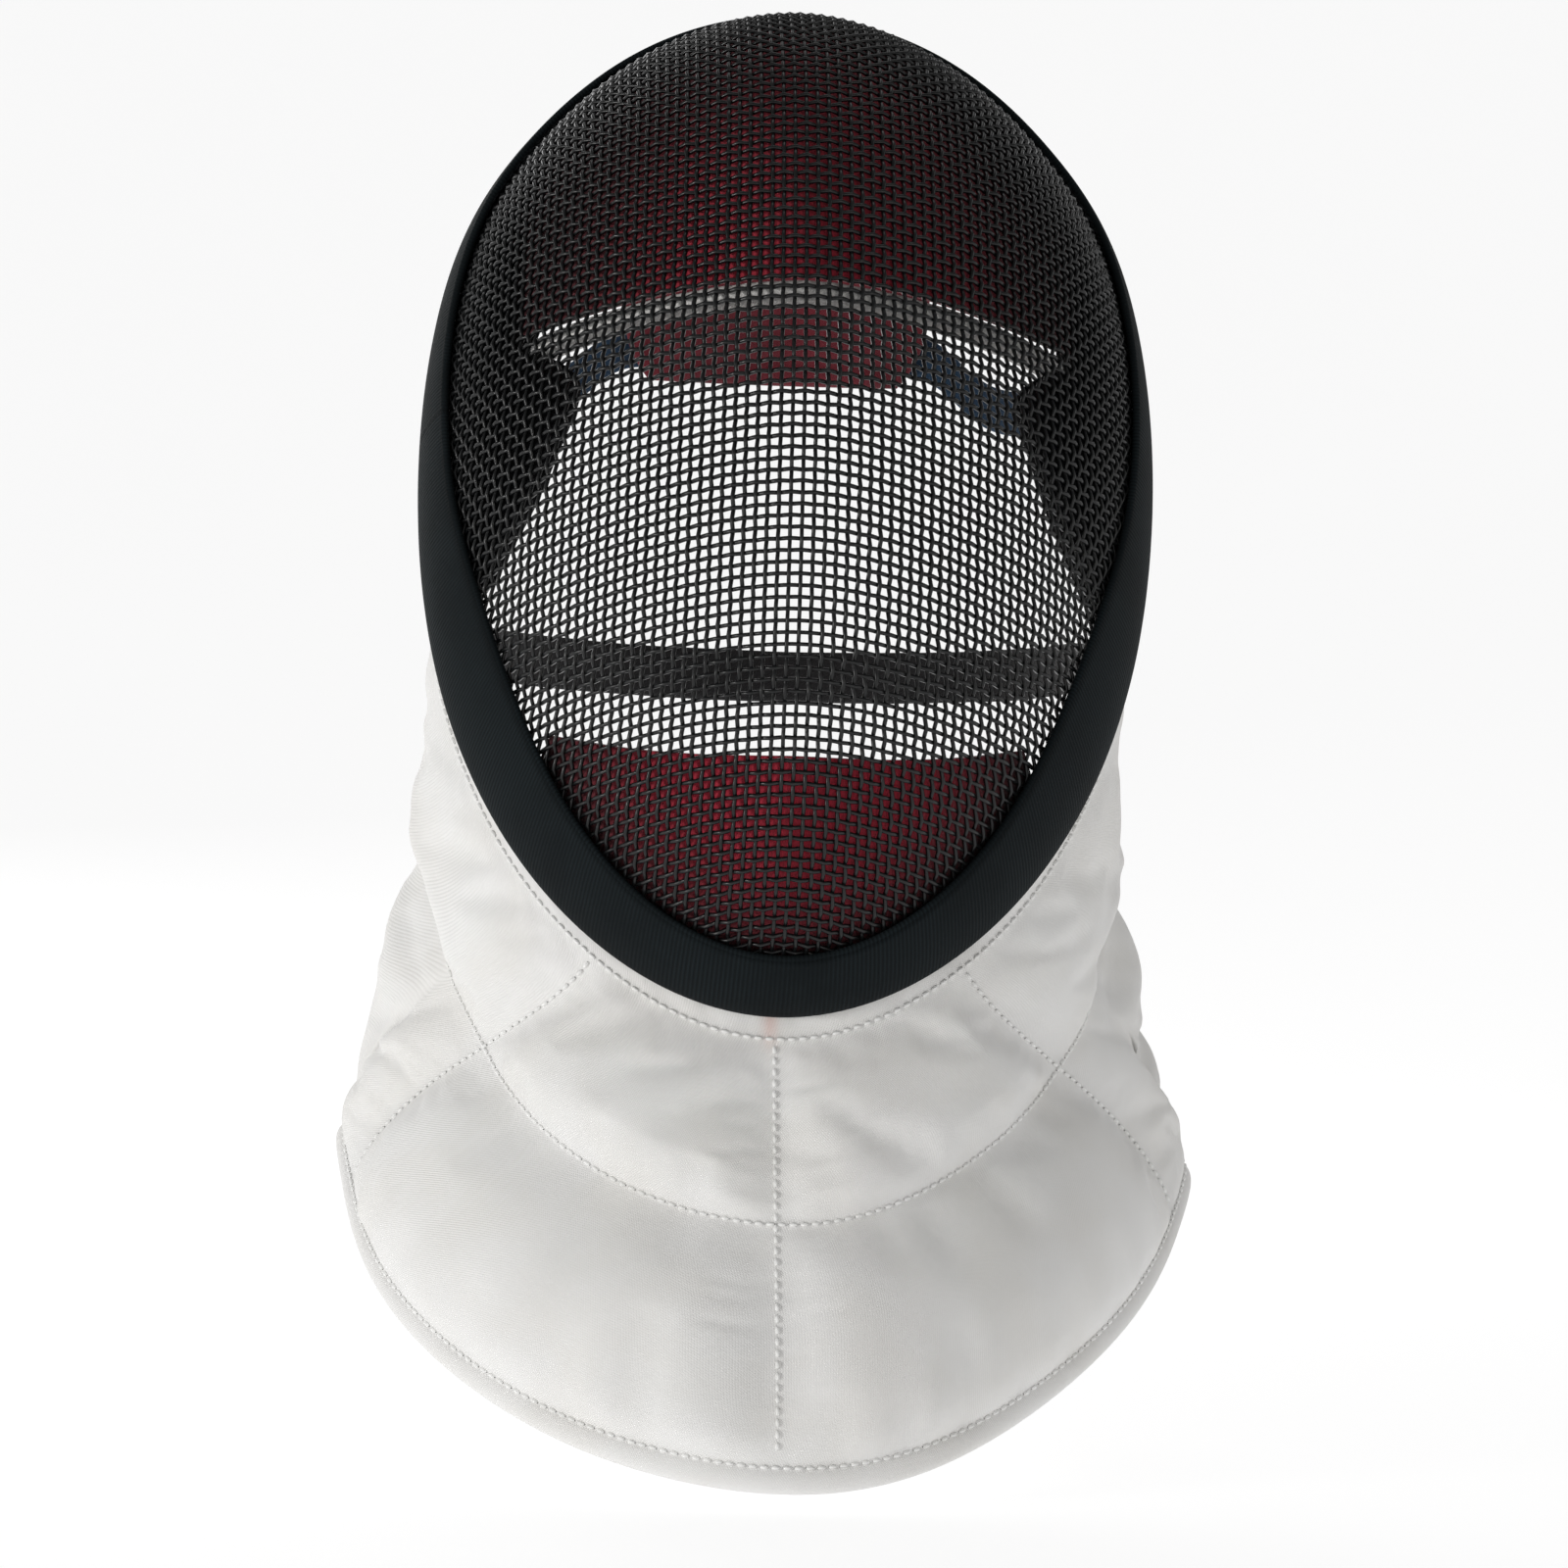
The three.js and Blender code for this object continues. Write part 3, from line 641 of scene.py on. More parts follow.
@dataclass
class RimTrim:
    """Ribbed cloth folded over the rim: a wide leg outside, a narrow one inside."""

    dome: Dome
    wall: float = TRIM_WALL
    inner: float = WIRE_HALF + GAP
    past: float = 2.6
    turn_in: float = 0.5
    crown: float = 0.5
    columns: int = 360

    def build(self, finish: "Finish") -> None:
        """Sweep the folded outline round the rim."""
        angle = np.linspace(-180.0, 180.0, self.columns, endpoint=False)
        width = self.dome.column("trim", angle)[:, None]
        outer = self.inner + self.wall
        middle = (self.inner + outer) / 2.0
        half = self.wall / 2.0
        bend = np.linspace(0.0, np.pi, 7)
        leg = np.linspace(0.0, 1.0, 16)
        swell = self.crown * np.sin(np.pi * leg) ** 0.6

        roll_in = width - half + half * np.sin(bend), middle - half * np.cos(bend)
        over = mix(width - half, 0.0, leg), outer + swell
        fold = np.linspace(0.0, np.pi, 11)[1:-1]
        round_out = -self.past * np.sin(fold), outer * np.cos(fold)
        under = mix(0.0, width * self.turn_in - half, leg), -outer - 0.3 * swell
        roll_out = (
            width * self.turn_in - half + half * np.sin(bend[1:]),
            -middle - half * np.cos(bend[1:]),
        )
        lining_back = mix(width * self.turn_in - half, -GAP, leg[1::5]), -self.inner
        lining_front = mix(-GAP, width - half, leg[::3]), self.inner
        blocks = (roll_in, over, round_out, under, roll_out, lining_back, lining_front)
        inset = np.concatenate(
            [np.broadcast_to(a, (self.columns, np.shape(a)[-1])) for a, _ in blocks], axis=1
        )
        lift = np.concatenate([np.broadcast_to(b, np.shape(a)[-1]) for a, b in blocks])
        points = self.dome.on(angle, inset, lift)
        rim = self.dome.point(angle, 1.0)
        around = np.linalg.norm(np.roll(rim, -1, axis=0) - rim, axis=1).cumsum()
        girth = lengths(np.stack([inset.mean(axis=0), lift], axis=-1))
        cloth = np.stack(np.broadcast_arrays(around[:, None], girth[None]), axis=-1)
        index = np.arange(inset.size).reshape(inset.shape)
        index = np.concatenate([index, index[:1]], axis=0)
        index = np.concatenate([index, index[:, :1]], axis=1)
        skin = Skin(points.reshape(-1, 3), [grid_quads(index)], cloth.reshape(-1, 2)).outward()
        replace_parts(piece("trim_binding", skin, finish), "rim_trim")


@dataclass
class Bib:
    """Quilted throat guard: two layers of cloth over batting, sewn along its seams."""

    dome: Dome
    wall: float = 3.4
    puff: float = 5.5
    side_puff: float = 2.0
    side_turns: tuple[float, float] = (22.0, 50.0)
    end: float = 80.0
    end_round: float = 6.0
    top_inset: float = -4.7
    top_lift: float = -1.0
    neck_back: float = 40.0
    seam_width: float = 9.0
    seam_above: float = 4.5
    seam_below: float = 15.0
    cross_seams: tuple[float, ...] = (0.075, 0.46, 0.945)
    down_seams: tuple[float, ...] = (-19.0, 0.0, 19.0)
    pucker_reach: float = 9.0
    pucker_steps: tuple[float, float] = (5.5, 3.1)
    hem_share: float = 0.07
    hem_middle: float = 0.972
    hem_half: float = 0.0285
    hem_rows: int = 18
    columns: int = 300
    rows: int = 130
    stitch_step: float = 3.1
    slack: float = 0.035
    pressure: float = 40.0
    stiff: float = 6.0
    swell_low: float = -0.8
    swell_high: float = 6.5
    frames: int = 20

    def sheet(self, turn: Array, share: Array) -> Array:
        """Middle of the bib: a Bezier curve from the rim to the hem at each turn."""
        col = splines(BIB_SECTIONS, Ends.FREE)
        hem = np.stack([col[name](turn) for name in ("hem_x", "hem_y", "hem_z")], axis=-1)
        away = unit(hem * (1.0, 1.0, 0.0) - (0.0, self.neck_back, 0.0))
        top = self.dome.on(turn - 90.0, np.array([self.top_inset]), self.top_lift)[:, 0]
        under = top + away * col["lean"](turn)[:, None] - UP * col["drop"](turn)[:, None]
        over = hem - away * col["tuck"](turn)[:, None] + UP * col["rise"](turn)[:, None]
        return cubic(share[:, None, None], top, under, over, hem)

    def swell(self, rest: Array, out: Array, sewn: Array) -> Array:
        """Blow a sheet of slack cloth out between its seams with a cloth simulation.

        Args:
            rest: Points of the sheet, rows by columns by three.
            out: Direction out of the sheet at each point.
            sewn: True where a seam or the border holds the cloth.

        Returns:
            How far each point has moved, in millimetres.
        """
        index = np.arange(sewn.size).reshape(sewn.shape)
        quads = grid_quads(index)
        corner = (rest.reshape(-1, 3)[quads] - SEAT) * MM
        facing = np.cross(corner[:, 1] - corner[:, 0], corner[:, 3] - corner[:, 0])
        if np.einsum("ij,ij->", facing, out.reshape(-1, 3)[quads[:, 0]]) < 0.0:
            quads = quads[:, ::-1]
        mesh = bpy.data.meshes.new("slack_sheet")
        mesh.from_pydata(((rest.reshape(-1, 3) - SEAT) * MM).tolist(), [], quads.tolist())
        obj = placed("slack_sheet", mesh)
        scene = bpy.context.scene
        obj.vertex_groups.new(name="sewn").add(index[sewn].tolist(), 1.0, "REPLACE")
        cloth = obj.modifiers.new("cloth", "CLOTH")
        fabric = cloth.settings
        fabric.quality = 5
        fabric.mass = 0.2
        fabric.tension_stiffness = fabric.compression_stiffness = 12.0
        fabric.shear_stiffness = 4.0
        fabric.bending_stiffness = self.stiff
        fabric.vertex_group_mass = "sewn"
        fabric.shrink_min = -self.slack
        fabric.use_pressure = True
        fabric.uniform_pressure_force = self.pressure
        fabric.effector_weights.gravity = 0.0
        cloth.point_cache.frame_end = self.frames
        for frame in range(1, self.frames + 1):
            scene.frame_set(frame)
        shown = obj.evaluated_get(bpy.context.evaluated_depsgraph_get()).data
        moved = np.empty(sewn.size * 3)
        shown.vertices.foreach_get("co", moved)
        scene.frame_set(1)
        bpy.data.objects.remove(obj)
        bpy.data.meshes.remove(mesh)
        return moved.reshape(rest.shape) / MM + SEAT - rest

    def blown(self, rest: Array, out: Array, sewn: Array) -> Array:
        """Height that the simulation blows the cloth out by, worked out on every other point.

        Args:
            rest: Points of the sheet before it is blown out.
            out: Direction out of the sheet at each point.
            sewn: True along the seams.

        Returns:
            Height at every point, kept between the lowest and the highest allowed.
        """
        held = sewn[::2, ::2].copy()
        held[:-1] |= sewn[1::2, ::2][: len(held) - 1]
        held[:, :-1] |= sewn[::2, 1::2][:, : held.shape[1] - 1]
        held[[0, -1]] = held[:, [0, -1]] = True
        coarse, lift = rest[::2, ::2], out[::2, ::2]
        height = np.einsum("ijk,ijk->ij", self.swell(coarse, lift, held), lift)
        height = np.clip(height, self.swell_low, self.swell_high)
        for count in sewn.shape:
            height = resample(height, np.arange(len(height)), np.arange(count) / 2.0).T
        return height

    def sunk(self, gap: Array, reach: Array | float) -> Array:
        """Share of the batting's height at a distance from a seam: one minus a bell curve."""
        return 1.0 - np.exp(-((np.abs(gap) / reach) ** 1.3))

    def pucker(self, along: Array, gap: Array, seed: int) -> Array:
        """Height of the ripples that stand across a seam and die away from it.

        Args:
            along: Length along the seam.
            gap: Distance from the seam.
            seed: Choice of ripples.

        Returns:
            Height of the ripples.
        """
        wide, fine = self.pucker_steps
        ripple = wobble(along, wide, seed) + 0.6 * wobble(along, fine, seed + 20)
        fade = np.exp(-((gap / self.pucker_reach) ** 2))
        return ripple * fade * (np.abs(gap) / 4.0).clip(0.0, 1.0)

    def build(self, finish: "Finish", thread: "Finish") -> None:
        """Quilt the two faces, and sew the seams with their stitches."""
        turn = np.linspace(-self.end, self.end, self.columns)
        to_hem = np.linspace(0.0, 1.0 - self.hem_share, self.rows - self.hem_rows)
        in_hem = 1.0 - self.hem_share * np.linspace(0.97, 0.0, self.hem_rows)
        share = np.concatenate([to_hem, in_hem])
        middle = self.sheet(turn, share)
        along_turn, along_share = np.gradient(middle, axis=1), np.gradient(middle, axis=0)
        out = unit(np.cross(along_share, along_turn))
        step = np.linalg.norm(along_turn, axis=-1)
        girth = step / (turn[1] - turn[0])
        around = step.cumsum(axis=1)
        length = lengths(middle.swapaxes(0, 1)).T
        t, s = np.meshgrid(turn, share)

        batting = mix(self.puff, self.side_puff, ease(np.abs(t), *self.side_turns))
        quilt, pucker = np.ones_like(t), np.zeros_like(t)
        for number, seam in enumerate(self.cross_seams):
            gap = length - resample(length, share, seam)
            quilt *= self.sunk(gap, np.where(gap > 0.0, self.seam_below, self.seam_above))
            pucker += self.pucker(around, gap, 11 + number)
        for number, seam in enumerate(self.down_seams):
            gap = (t - seam) * girth
            quilt *= self.sunk(gap, self.seam_width)
            pucker += self.pucker(length, gap, 21 + number)
        border = (s < self.cross_seams[0]) | (s > self.cross_seams[-1])
        quilt = np.where(border, 0.3 * quilt, quilt)

        seam_rows = [nearest(share, seam) for seam in self.cross_seams]
        seam_columns = [nearest(turn, seam) for seam in self.down_seams]
        sewn = np.zeros(t.shape, dtype=bool)
        sewn[seam_rows] = sewn[:, seam_columns] = True
        half = self.wall / 2.0
        loft = self.blown(middle + out * half, out, sewn)
        loft = loft * np.minimum(1.0, batting / self.puff + 0.25)
        hem = np.sqrt(np.clip(1.0 - ((s - self.hem_middle) / self.hem_half) ** 2, 0.02, 1.0))
        in_hem = s > self.cross_seams[-1]
        face = half + 0.85 * batting * quilt + loft * quilt**0.5 + 0.3 * pucker
        face = np.where(in_hem, 0.7 + 2.0 * hem, face)
        inside = half + 0.3 * batting * quilt + 0.2 * pucker
        inside = np.where(in_hem, 0.5 + 2.2 * hem, inside)
        ends = np.sqrt(np.clip((self.end - np.abs(t)) * girth / self.end_round, 0.03, 1.0))
        crease = sum(
            c.rise
            * np.exp(-(((t - c.turn) / c.run) ** 2) - ((s - c.share) / c.breadth) ** 2)
            for c in BIB_CREASES + BIB_WRINKLES
        )
        bend = crease + 0.35 * wobble(around + 0.4 * length, 19.0, 5) * wobble(length, 23.0, 6)
        front = middle + out * (face * ends + bend)[..., None]
        back = middle - out * (inside * ends - bend)[..., None]
        skin = slab(front, back, np.stack([around, length], axis=-1))
        stain = np.exp(-(((t + 0.7) * girth / 2.0) ** 2) - (length / 11.0) ** 4)
        skin.marks["stain"] = np.concatenate([stain.ravel(), 0.0 * stain.ravel()])
        obj = piece("bib_quilt", skin, finish)
        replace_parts(obj, "bib")

        normal = unit(np.cross(np.gradient(front, axis=0), np.gradient(front, axis=1)))
        lines = [(front[row], normal[row]) for row in seam_rows]
        down = slice(seam_rows[0], seam_rows[-1])
        lines += [(front[down, column], normal[down, column]) for column in seam_columns]
        piece("bib_stitches", stitches(lines, self.stitch_step), thread)


def stitches(lines: Sequence[tuple[Array, Array]], step: float) -> Skin:
    """Short rounded stitches, evenly spaced along sewn lines.

    Args:
        lines: Points and outward directions of each line.
        step: Distance from one stitch to the next.

    Returns:
        One skin holding all the stitches.
    """
    long, wide, high, sunk = 2.1, 1.2, 0.75, 0.25
    centre, run, out = [], [], []
    for points, normals in lines:
        length = lengths(points)
        at = np.arange(step, length[-1] - step, step)
        centre.append(resample(points, length, at))
        run.append(unit(resample(np.gradient(points, axis=0), length, at)))
        out.append(unit(resample(normals, length, at)))
    centre, run, out = (np.concatenate(block) for block in (centre, run, out))
    side = unit(np.cross(run, out))
    station = np.array([-1.0, -0.75, 0.0, 0.75, 1.0])
    swell = np.array([0.35, 0.8, 1.0, 0.8, 0.35])
    sides = 6
    turn = np.arange(sides) * 2.0 * np.pi / sides
    a, b = np.meshgrid(station, turn, indexing="ij")
    fat = np.broadcast_to(swell[:, None], a.shape)
    local = np.stack(
        [a * long / 2, fat * np.cos(b) * wide / 2, fat * np.sin(b) * high + sunk], axis=-1
    ).reshape(-1, 3)
    axes = np.stack([run, side, out], axis=1)
    points = centre[:, None] + np.einsum("kc,ncd->nkd", local, axes)
    index = np.arange(a.size).reshape(a.shape)
    ring = np.concatenate([index, index[:, :1]], axis=1)
    walls, caps = grid_quads(ring), np.stack([index[0], index[-1, ::-1]])
    shift = (np.arange(len(centre)) * a.size)[:, None, None]
    faces = [(walls + shift).reshape(-1, 4), (caps + shift).reshape(-1, sides)]
    return Skin(points.reshape(-1, 3), faces).outward()


def cushion(u: Array, v: Array, sharp: float = 5.0) -> Array:
    """Share of a pad's full thickness: round at the border, flat in the middle."""
    a = 1.0 - np.abs(2.0 * u - 1.0) ** sharp
    b = 1.0 - np.abs(2.0 * v - 1.0) ** sharp
    return np.sqrt(np.clip(a * b, 0.0, 1.0))


@dataclass
class Pads:
    """Red crown pad with its white piping, black side pads and red chin pad, under the dome."""

    dome: Dome
    crown_thick: float = 14.0
    crown_half: float = 78.5
    crown_front: float = 141.0
    crown_rear: float = 50.0
    piping_radius: float = 3.6
    piping_up: float = 137.0
    piping_lift: float = -5.7
    chin_thick: float = 10.0
    chin_spread: float = 34.0
    chin_top: float = 117.0
    chin_top_end: float = 119.0
    side_thick: float = 7.0
    side_over: float = 5.0
    side_lift: float = -3.0
    rim_gap: float = 3.0
    seat_lift: float = -2.1

    def lumps(self, a: Array, b: Array, seed: int) -> Array:
        """Slight unevenness of foam under cloth."""
        return 0.5 * wobble(a, 17.0, seed) * wobble(b, 14.0, seed + 1) + 0.25 * wobble(
            a + b, 9.0, seed + 2
        )

    def painted_shade(self, a: Array, b: Array) -> Array:
        """How far painted shade darkens a pad away from the part of it that shows most."""
        return 0.85 * ease(np.hypot(a, b), 0.4, 1.15)

    def against(
        self, angle: Array, v: Array, top: Array, thick: float, lift: float, seed: int
    ) -> Skin:
        """Pad that lies against the dome, from the binding in to an edge.

        Args:
            angle: Angle round the pole, the same down each column.
            v: Share of the way from the binding to the inner edge.
            top: Distance of the inner edge from the pole at each column.
            thick: Full thickness.
            lift: Height of its outer face off the dome, negative inside it.
            seed: Choice of lumps.

        Returns:
            The closed skin of the pad.
        """
        inset = self.dome.column("trim", angle[0]) * 0.5 + self.rim_gap
        near = self.dome.share_at_inset(angle[0], inset[:, None])[:, 0]
        share = mix(near[None], self.dome.share_at_reach(angle[0], top)[None], v)
        u = (angle - angle[0, 0]) / (angle[0, -1] - angle[0, 0])
        full = cushion(u, v)
        foot = self.dome.point(angle, share)
        out = self.dome.normal(angle, share)
        cloth = np.stack([angle * 2.2, share * 150.0], axis=-1)
        loft = thick * full * (1.0 + 0.06 * self.lumps(cloth[..., 0], cloth[..., 1], seed) * full)
        back = foot + out * (lift - np.minimum(loft, thick))[..., None]
        return slab(foot + out * lift, back, cloth)

    def crown(self, u: Array, v: Array, finish: "Finish") -> None:
        """Pad under the crown, from its straight front edge back to the binding."""
        x = mix(-self.crown_half, self.crown_half, u)
        side = x[0]
        angle = np.degrees(np.arccos(side / self.dome.column("radius", 90.0)))
        swing = self.dome.share_at_inset(angle, np.array([[self.crown_rear]])) * np.pi / 2.0
        reach = self.dome.column("radius", angle) * np.sin(swing[:, 0]) ** (2 / self.dome.round)
        rear = self.dome.pole_rise + np.sqrt(np.maximum(reach**2 - side**2, 0.0))
        up = mix(self.crown_front, rear[None], np.sin(1.3 * v) / math.sin(1.3))
        full = cushion(u, v)
        loft = self.crown_thick * full * (1.0 + 0.06 * self.lumps(x, up, 61) * full)
        front = self.dome.under(x, up, self.seat_lift)
        back = self.dome.under(x, up, self.seat_lift - np.minimum(loft, self.crown_thick))
        skin = slab(front, back, np.stack([x, up], axis=-1))
        # Painted shade: the pad's colour darkens towards its sides and towards the rim.
        skin.marks["painted_shade"] = np.tile(self.painted_shade(x / 62.0, v).ravel(), 2)
        obj = piece("crown_cushion", skin, finish)
        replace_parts(obj, "crown_pad")

    def piping(self, finish: "Finish") -> None:
        """White cord along the crown pad's front edge."""
        sides = 20
        x = np.linspace(-self.crown_half, self.crown_half, 160)
        line = self.dome.under(x, self.piping_up, self.piping_lift)
        lift = unit(self.dome.under(x, self.piping_up, self.piping_lift + 1.0) - line)
        tip = np.sqrt(np.clip((self.crown_half - np.abs(x)) / self.piping_radius, 0.02, 1.0))
        radius = self.piping_radius * tip * (1.0 + 0.03 * wobble(x, 4.0, 71))
        keep = np.ones((1, len(x)), dtype=bool)
        skin = tubes(line[None], lift[None], keep, radius[None], sides)
        girth = np.tile(np.arange(sides) * 1.13, len(x))
        skin.cloth = np.stack([np.repeat(x, sides), girth], axis=-1)
        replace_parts(piece("piping_cord", skin, finish), "crown_piping")

    def chin(self, u: Array, v: Array, finish: "Finish") -> None:
        """Pad inside the chin."""
        angle = -90.0 + mix(-self.chin_spread, self.chin_spread, u)
        top = mix(self.chin_top, self.chin_top_end, (2.0 * u[0] - 1.0) ** 2)
        skin = self.against(angle, v, top, self.chin_thick, self.seat_lift, 81)
        # Painted shade: the pad's colour darkens towards its sides and towards the rim.
        skin.marks["painted_shade"] = np.tile(self.painted_shade((angle + 90.0) / 30.0, 1.15 * (1.0 - v)).ravel(), 2)
        obj = piece("chin_cushion", skin, finish)
        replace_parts(obj, "chin_pad")

    def sides(self, u: Array, v: Array, finish: "Finish") -> None:
        """Pads beside the crown pad, one the mirror image of the other."""
        edge = splines(SIDE_PAD_EDGE, Ends.LEVEL)["reach"]
        angle = mix(SIDE_PAD_EDGE[0].angle, SIDE_PAD_EDGE[-1].angle, u)
        inner = edge(angle[0]) - self.side_over
        skin = self.against(angle, v, inner, self.side_thick, self.side_lift, 85)
        for name, side in (("right", 1.0), ("left", -1.0)):
            turned = Skin(skin.points * (side, 1.0, 1.0), skin.faces, skin.cloth).outward()
            obj = piece(f"side_cushion_{name}", turned, finish)
            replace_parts(obj, f"side_pad_{name}")

    def build(self, red: "Finish", black: "Finish", white: "Finish") -> None:
        """Make the pads and the piping."""
        u, v = edged_grid(110, 64)
        self.crown(u, v, red)
        self.piping(white)
        self.chin(u, v, red)
        self.sides(u, v, black)


def bezier(ends: Sequence[tuple[float, float]], t: Array) -> tuple[Array, Array]:
    """Points and unit directions of a cubic Bezier curve in the middle plane."""
    p = np.array([(0.0, y, z) for y, z in ends])
    a, b = 1.0 - t[..., None], t[..., None]
    run = a * a * (p[1] - p[0]) + 2 * a * b * (p[2] - p[1]) + b * b * (p[3] - p[2])
    return cubic(b, *p), unit(run)


@dataclass
class Tongue:
    """Padded tongue that springs down behind the head from the crown."""

    line: tuple[tuple[float, float], ...] = ((-20, 275.5), (35, 266.5), (90, 245), (92, 191))
    root: float = 106.0
    tip: float = 94.0
    thick: float = 9.0
    curve: float = 105.0
    edge: float = 0.55
    corner_from: float = 0.82
    corner_cut: float = 0.16
    cloth_half: float = 50.0
    cloth_long: float = 165.0
    seam_long: float = 170.0
    seam_in: float = 8.0
    seam_width: float = 2.6
    border: float = 0.84
    stitch_step: float = 3.4

    def width(self, along: Array | float) -> Array:
        """Width of the tongue, drawn in at the rounded corners of its tip."""
        corner = np.maximum((along - self.corner_from) / (1.0 - self.corner_from), 0.0)
        return mix(self.root, self.tip, along) * (1.0 - self.corner_cut * corner**3)

    def on(self, across: Array, along: Array, lift: Array) -> Array:
        """Points of the tongue's middle sheet, lifted off the head."""
        point, run = bezier(self.line, along)
        away = np.stack([np.zeros_like(along), -run[..., 2], run[..., 1]], axis=-1)
        x = across * self.width(along) / 2.0
        point = point + away * (lift - x * x / (2.0 * self.curve))[..., None]
        return point + np.array([1.0, 0.0, 0.0]) * x[..., None]

    def half(self, across: float, along: float) -> float:
        """Half the thickness that the elastic stays rest on."""
        flat = (1.0 - abs(across) ** 5) * (1.0 - abs(2.0 * along - 1.0) ** 5)
        return self.thick * mix(self.edge, 1.0, flat) / 2.0

    def sewn_line(self, across: Array | float, along: Array | float) -> tuple[Array, Array]:
        """Points of a sewn line on the outer face, and directions out of it."""
        across, along = np.broadcast_arrays(across, along)
        ride = np.full(across.shape, self.thick / 2.0 * 0.7)
        points = self.on(across, along, ride)
        return points, unit(self.on(across, along, ride + 1.0) - points)

    def build(self, finish: "Finish", thread: "Finish") -> None:
        """Make the padded tongue, quilted inside a sewn border."""
        u, v = edged_grid(110, 120)
        across = 2.0 * u - 1.0
        full = cushion(u, v, 9.0)
        wide = (1.0 - np.abs(across)) * self.cloth_half
        tall = (0.5 - np.abs(v - 0.5)) * self.seam_long
        seam = np.exp(-(((np.minimum(wide, tall) - self.seam_in) / self.seam_width) ** 2))
        loft = self.thick / 2.0 * full * (1.0 - 0.3 * seam)
        loft = loft * (1.0 - 0.04 * wobble(u * 100, 9.0, 91) * wobble(v * 160, 11.0, 92))
        loft = np.minimum(loft, self.thick / 2.0)
        front, back = self.on(across, v, loft), self.on(across, v, -loft)
        cloth = np.stack([across * self.cloth_half, v * self.cloth_long], axis=-1)
        obj = piece("tongue_pad", slab(front, back, cloth), finish)
        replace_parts(obj, "back_tongue")
        down = np.linspace(0.055, 0.945, 200)
        tip = np.linspace(-self.border, self.border, 120)
        lines = [self.sewn_line(edge, down) for edge in (-self.border, self.border)]
        lines.append(self.sewn_line(tip, 0.953))
        piece("tongue_stitches", stitches(lines, self.stitch_step), thread)


def smooth_path(stops: Array, count: int) -> Array:
    """Curve through stops, centripetal, with evenly spaced points.

    Args:
        stops: Points that the curve passes through.
        count: Number of points wanted.

    Returns:
        The points, one in each row.
    """
    held = np.concatenate([[2 * stops[0] - stops[1]], stops, [2 * stops[-1] - stops[-2]]])
    t = np.linspace(0.0, 1.0, 60)[:, None]
    parts = []
    for p0, p1, p2, p3 in zip(held, held[1:], held[2:], held[3:]):
        d0, d1, d2 = (math.sqrt(np.linalg.norm(b - a)) for a, b in ((p0, p1), (p1, p2), (p2, p3)))
        m1 = d1 * ((p1 - p0) / d0 - (p2 - p0) / (d0 + d1) + (p2 - p1) / d1)
        m2 = d1 * ((p2 - p1) / d1 - (p3 - p1) / (d1 + d2) + (p3 - p2) / d2)
        bend = (2 * p1 - 2 * p2 + m1 + m2) * t**3 + (3 * p2 - 3 * p1 - 2 * m1 - m2) * t**2
        parts.append((bend + m1 * t + p1)[:-1])
    line = np.concatenate(parts + [stops[-1:]])
    length = lengths(line)
    return resample(line, length, np.linspace(0.0, length[-1], count))


@dataclass
class Elastic:
    """A flat elastic band from the inside of the rim."""

    dome: Dome
    rim_angle: float
    width: float
    wall: float
    stops: tuple[tuple[float, float, float], ...]
    seated: float = 9.0
    slack: float = 0.2

    def start(self) -> Array:
        """The band's first points, flat against the binding, then its stops."""
        lift = -(WIRE_HALF + TRIM_WALL + GAP + PAD_GAP + self.wall / 2.0 + self.slack)
        inset = np.array([self.seated, -self.seated])
        rim = self.dome.on(np.full(1, self.rim_angle), inset, lift)[0]
        return np.concatenate([rim, np.array(self.stops, dtype=float)])

    def standing(self, side: Array, fixed: Array) -> Array:
        """Direction across the band: along the rim where fixed is 1, upright where it is 0."""
        ends = self.dome.point(self.rim_angle + np.array([-0.5, 0.5]), 1.0)
        edge = unit(ends[1] - ends[0]) * np.stack(
            [side, np.ones_like(side), np.ones_like(side)], axis=-1
        )
        return unit(mix(UP, edge, ease(fixed, 0.2, 0.9)[:, None]))

    def skin(self, stops: Array, side: Array, fixed: Array) -> Skin:
        """Closed skin of the band, with its selvedges rounded and a slight ripple."""
        path = smooth_path(stops, len(side))
        across = self.standing(side, fixed)
        away = unit(np.cross(np.gradient(path, axis=0), across))
        v = 0.5 - 0.5 * np.cos(np.linspace(0.0, np.pi, 15))
        thin = np.sqrt(np.clip(1.0 - np.abs(2.0 * v - 1.0) ** 8, 0.05, 1.0))
        length = lengths(path)
        wide = self.width * (1.0 + 0.012 * wobble(length, 9.0, 101))
        flat = path[:, None] + across[:, None] * (wide[:, None] * (v - 0.5))[..., None]
        rise = away[:, None] * (self.wall / 2.0 * thin)[:, None]
        cloth = np.stack(np.broadcast_arrays(length[:, None], (v * self.width)[None]), axis=-1)
        return slab(flat + rise, flat - rise, cloth)


@dataclass
class NapeStrap(Elastic):
    """Black strap from one side of the rim, round behind the nape, to the other."""

    def build(self, finish: "Finish") -> None:
        """Mirror the right half and make one band of the two."""
        right = self.start()
        left = right[:-1] * (-1.0, 1.0, 1.0)
        u = np.linspace(0.0, 1.0, 260)
        side = np.where(u < 0.5, -1.0, 1.0)
        skin = self.skin(np.concatenate([left, right[::-1]]), side, np.abs(2.0 * u - 1.0))
        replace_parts(piece("strap_band", skin, finish), "nape_strap")


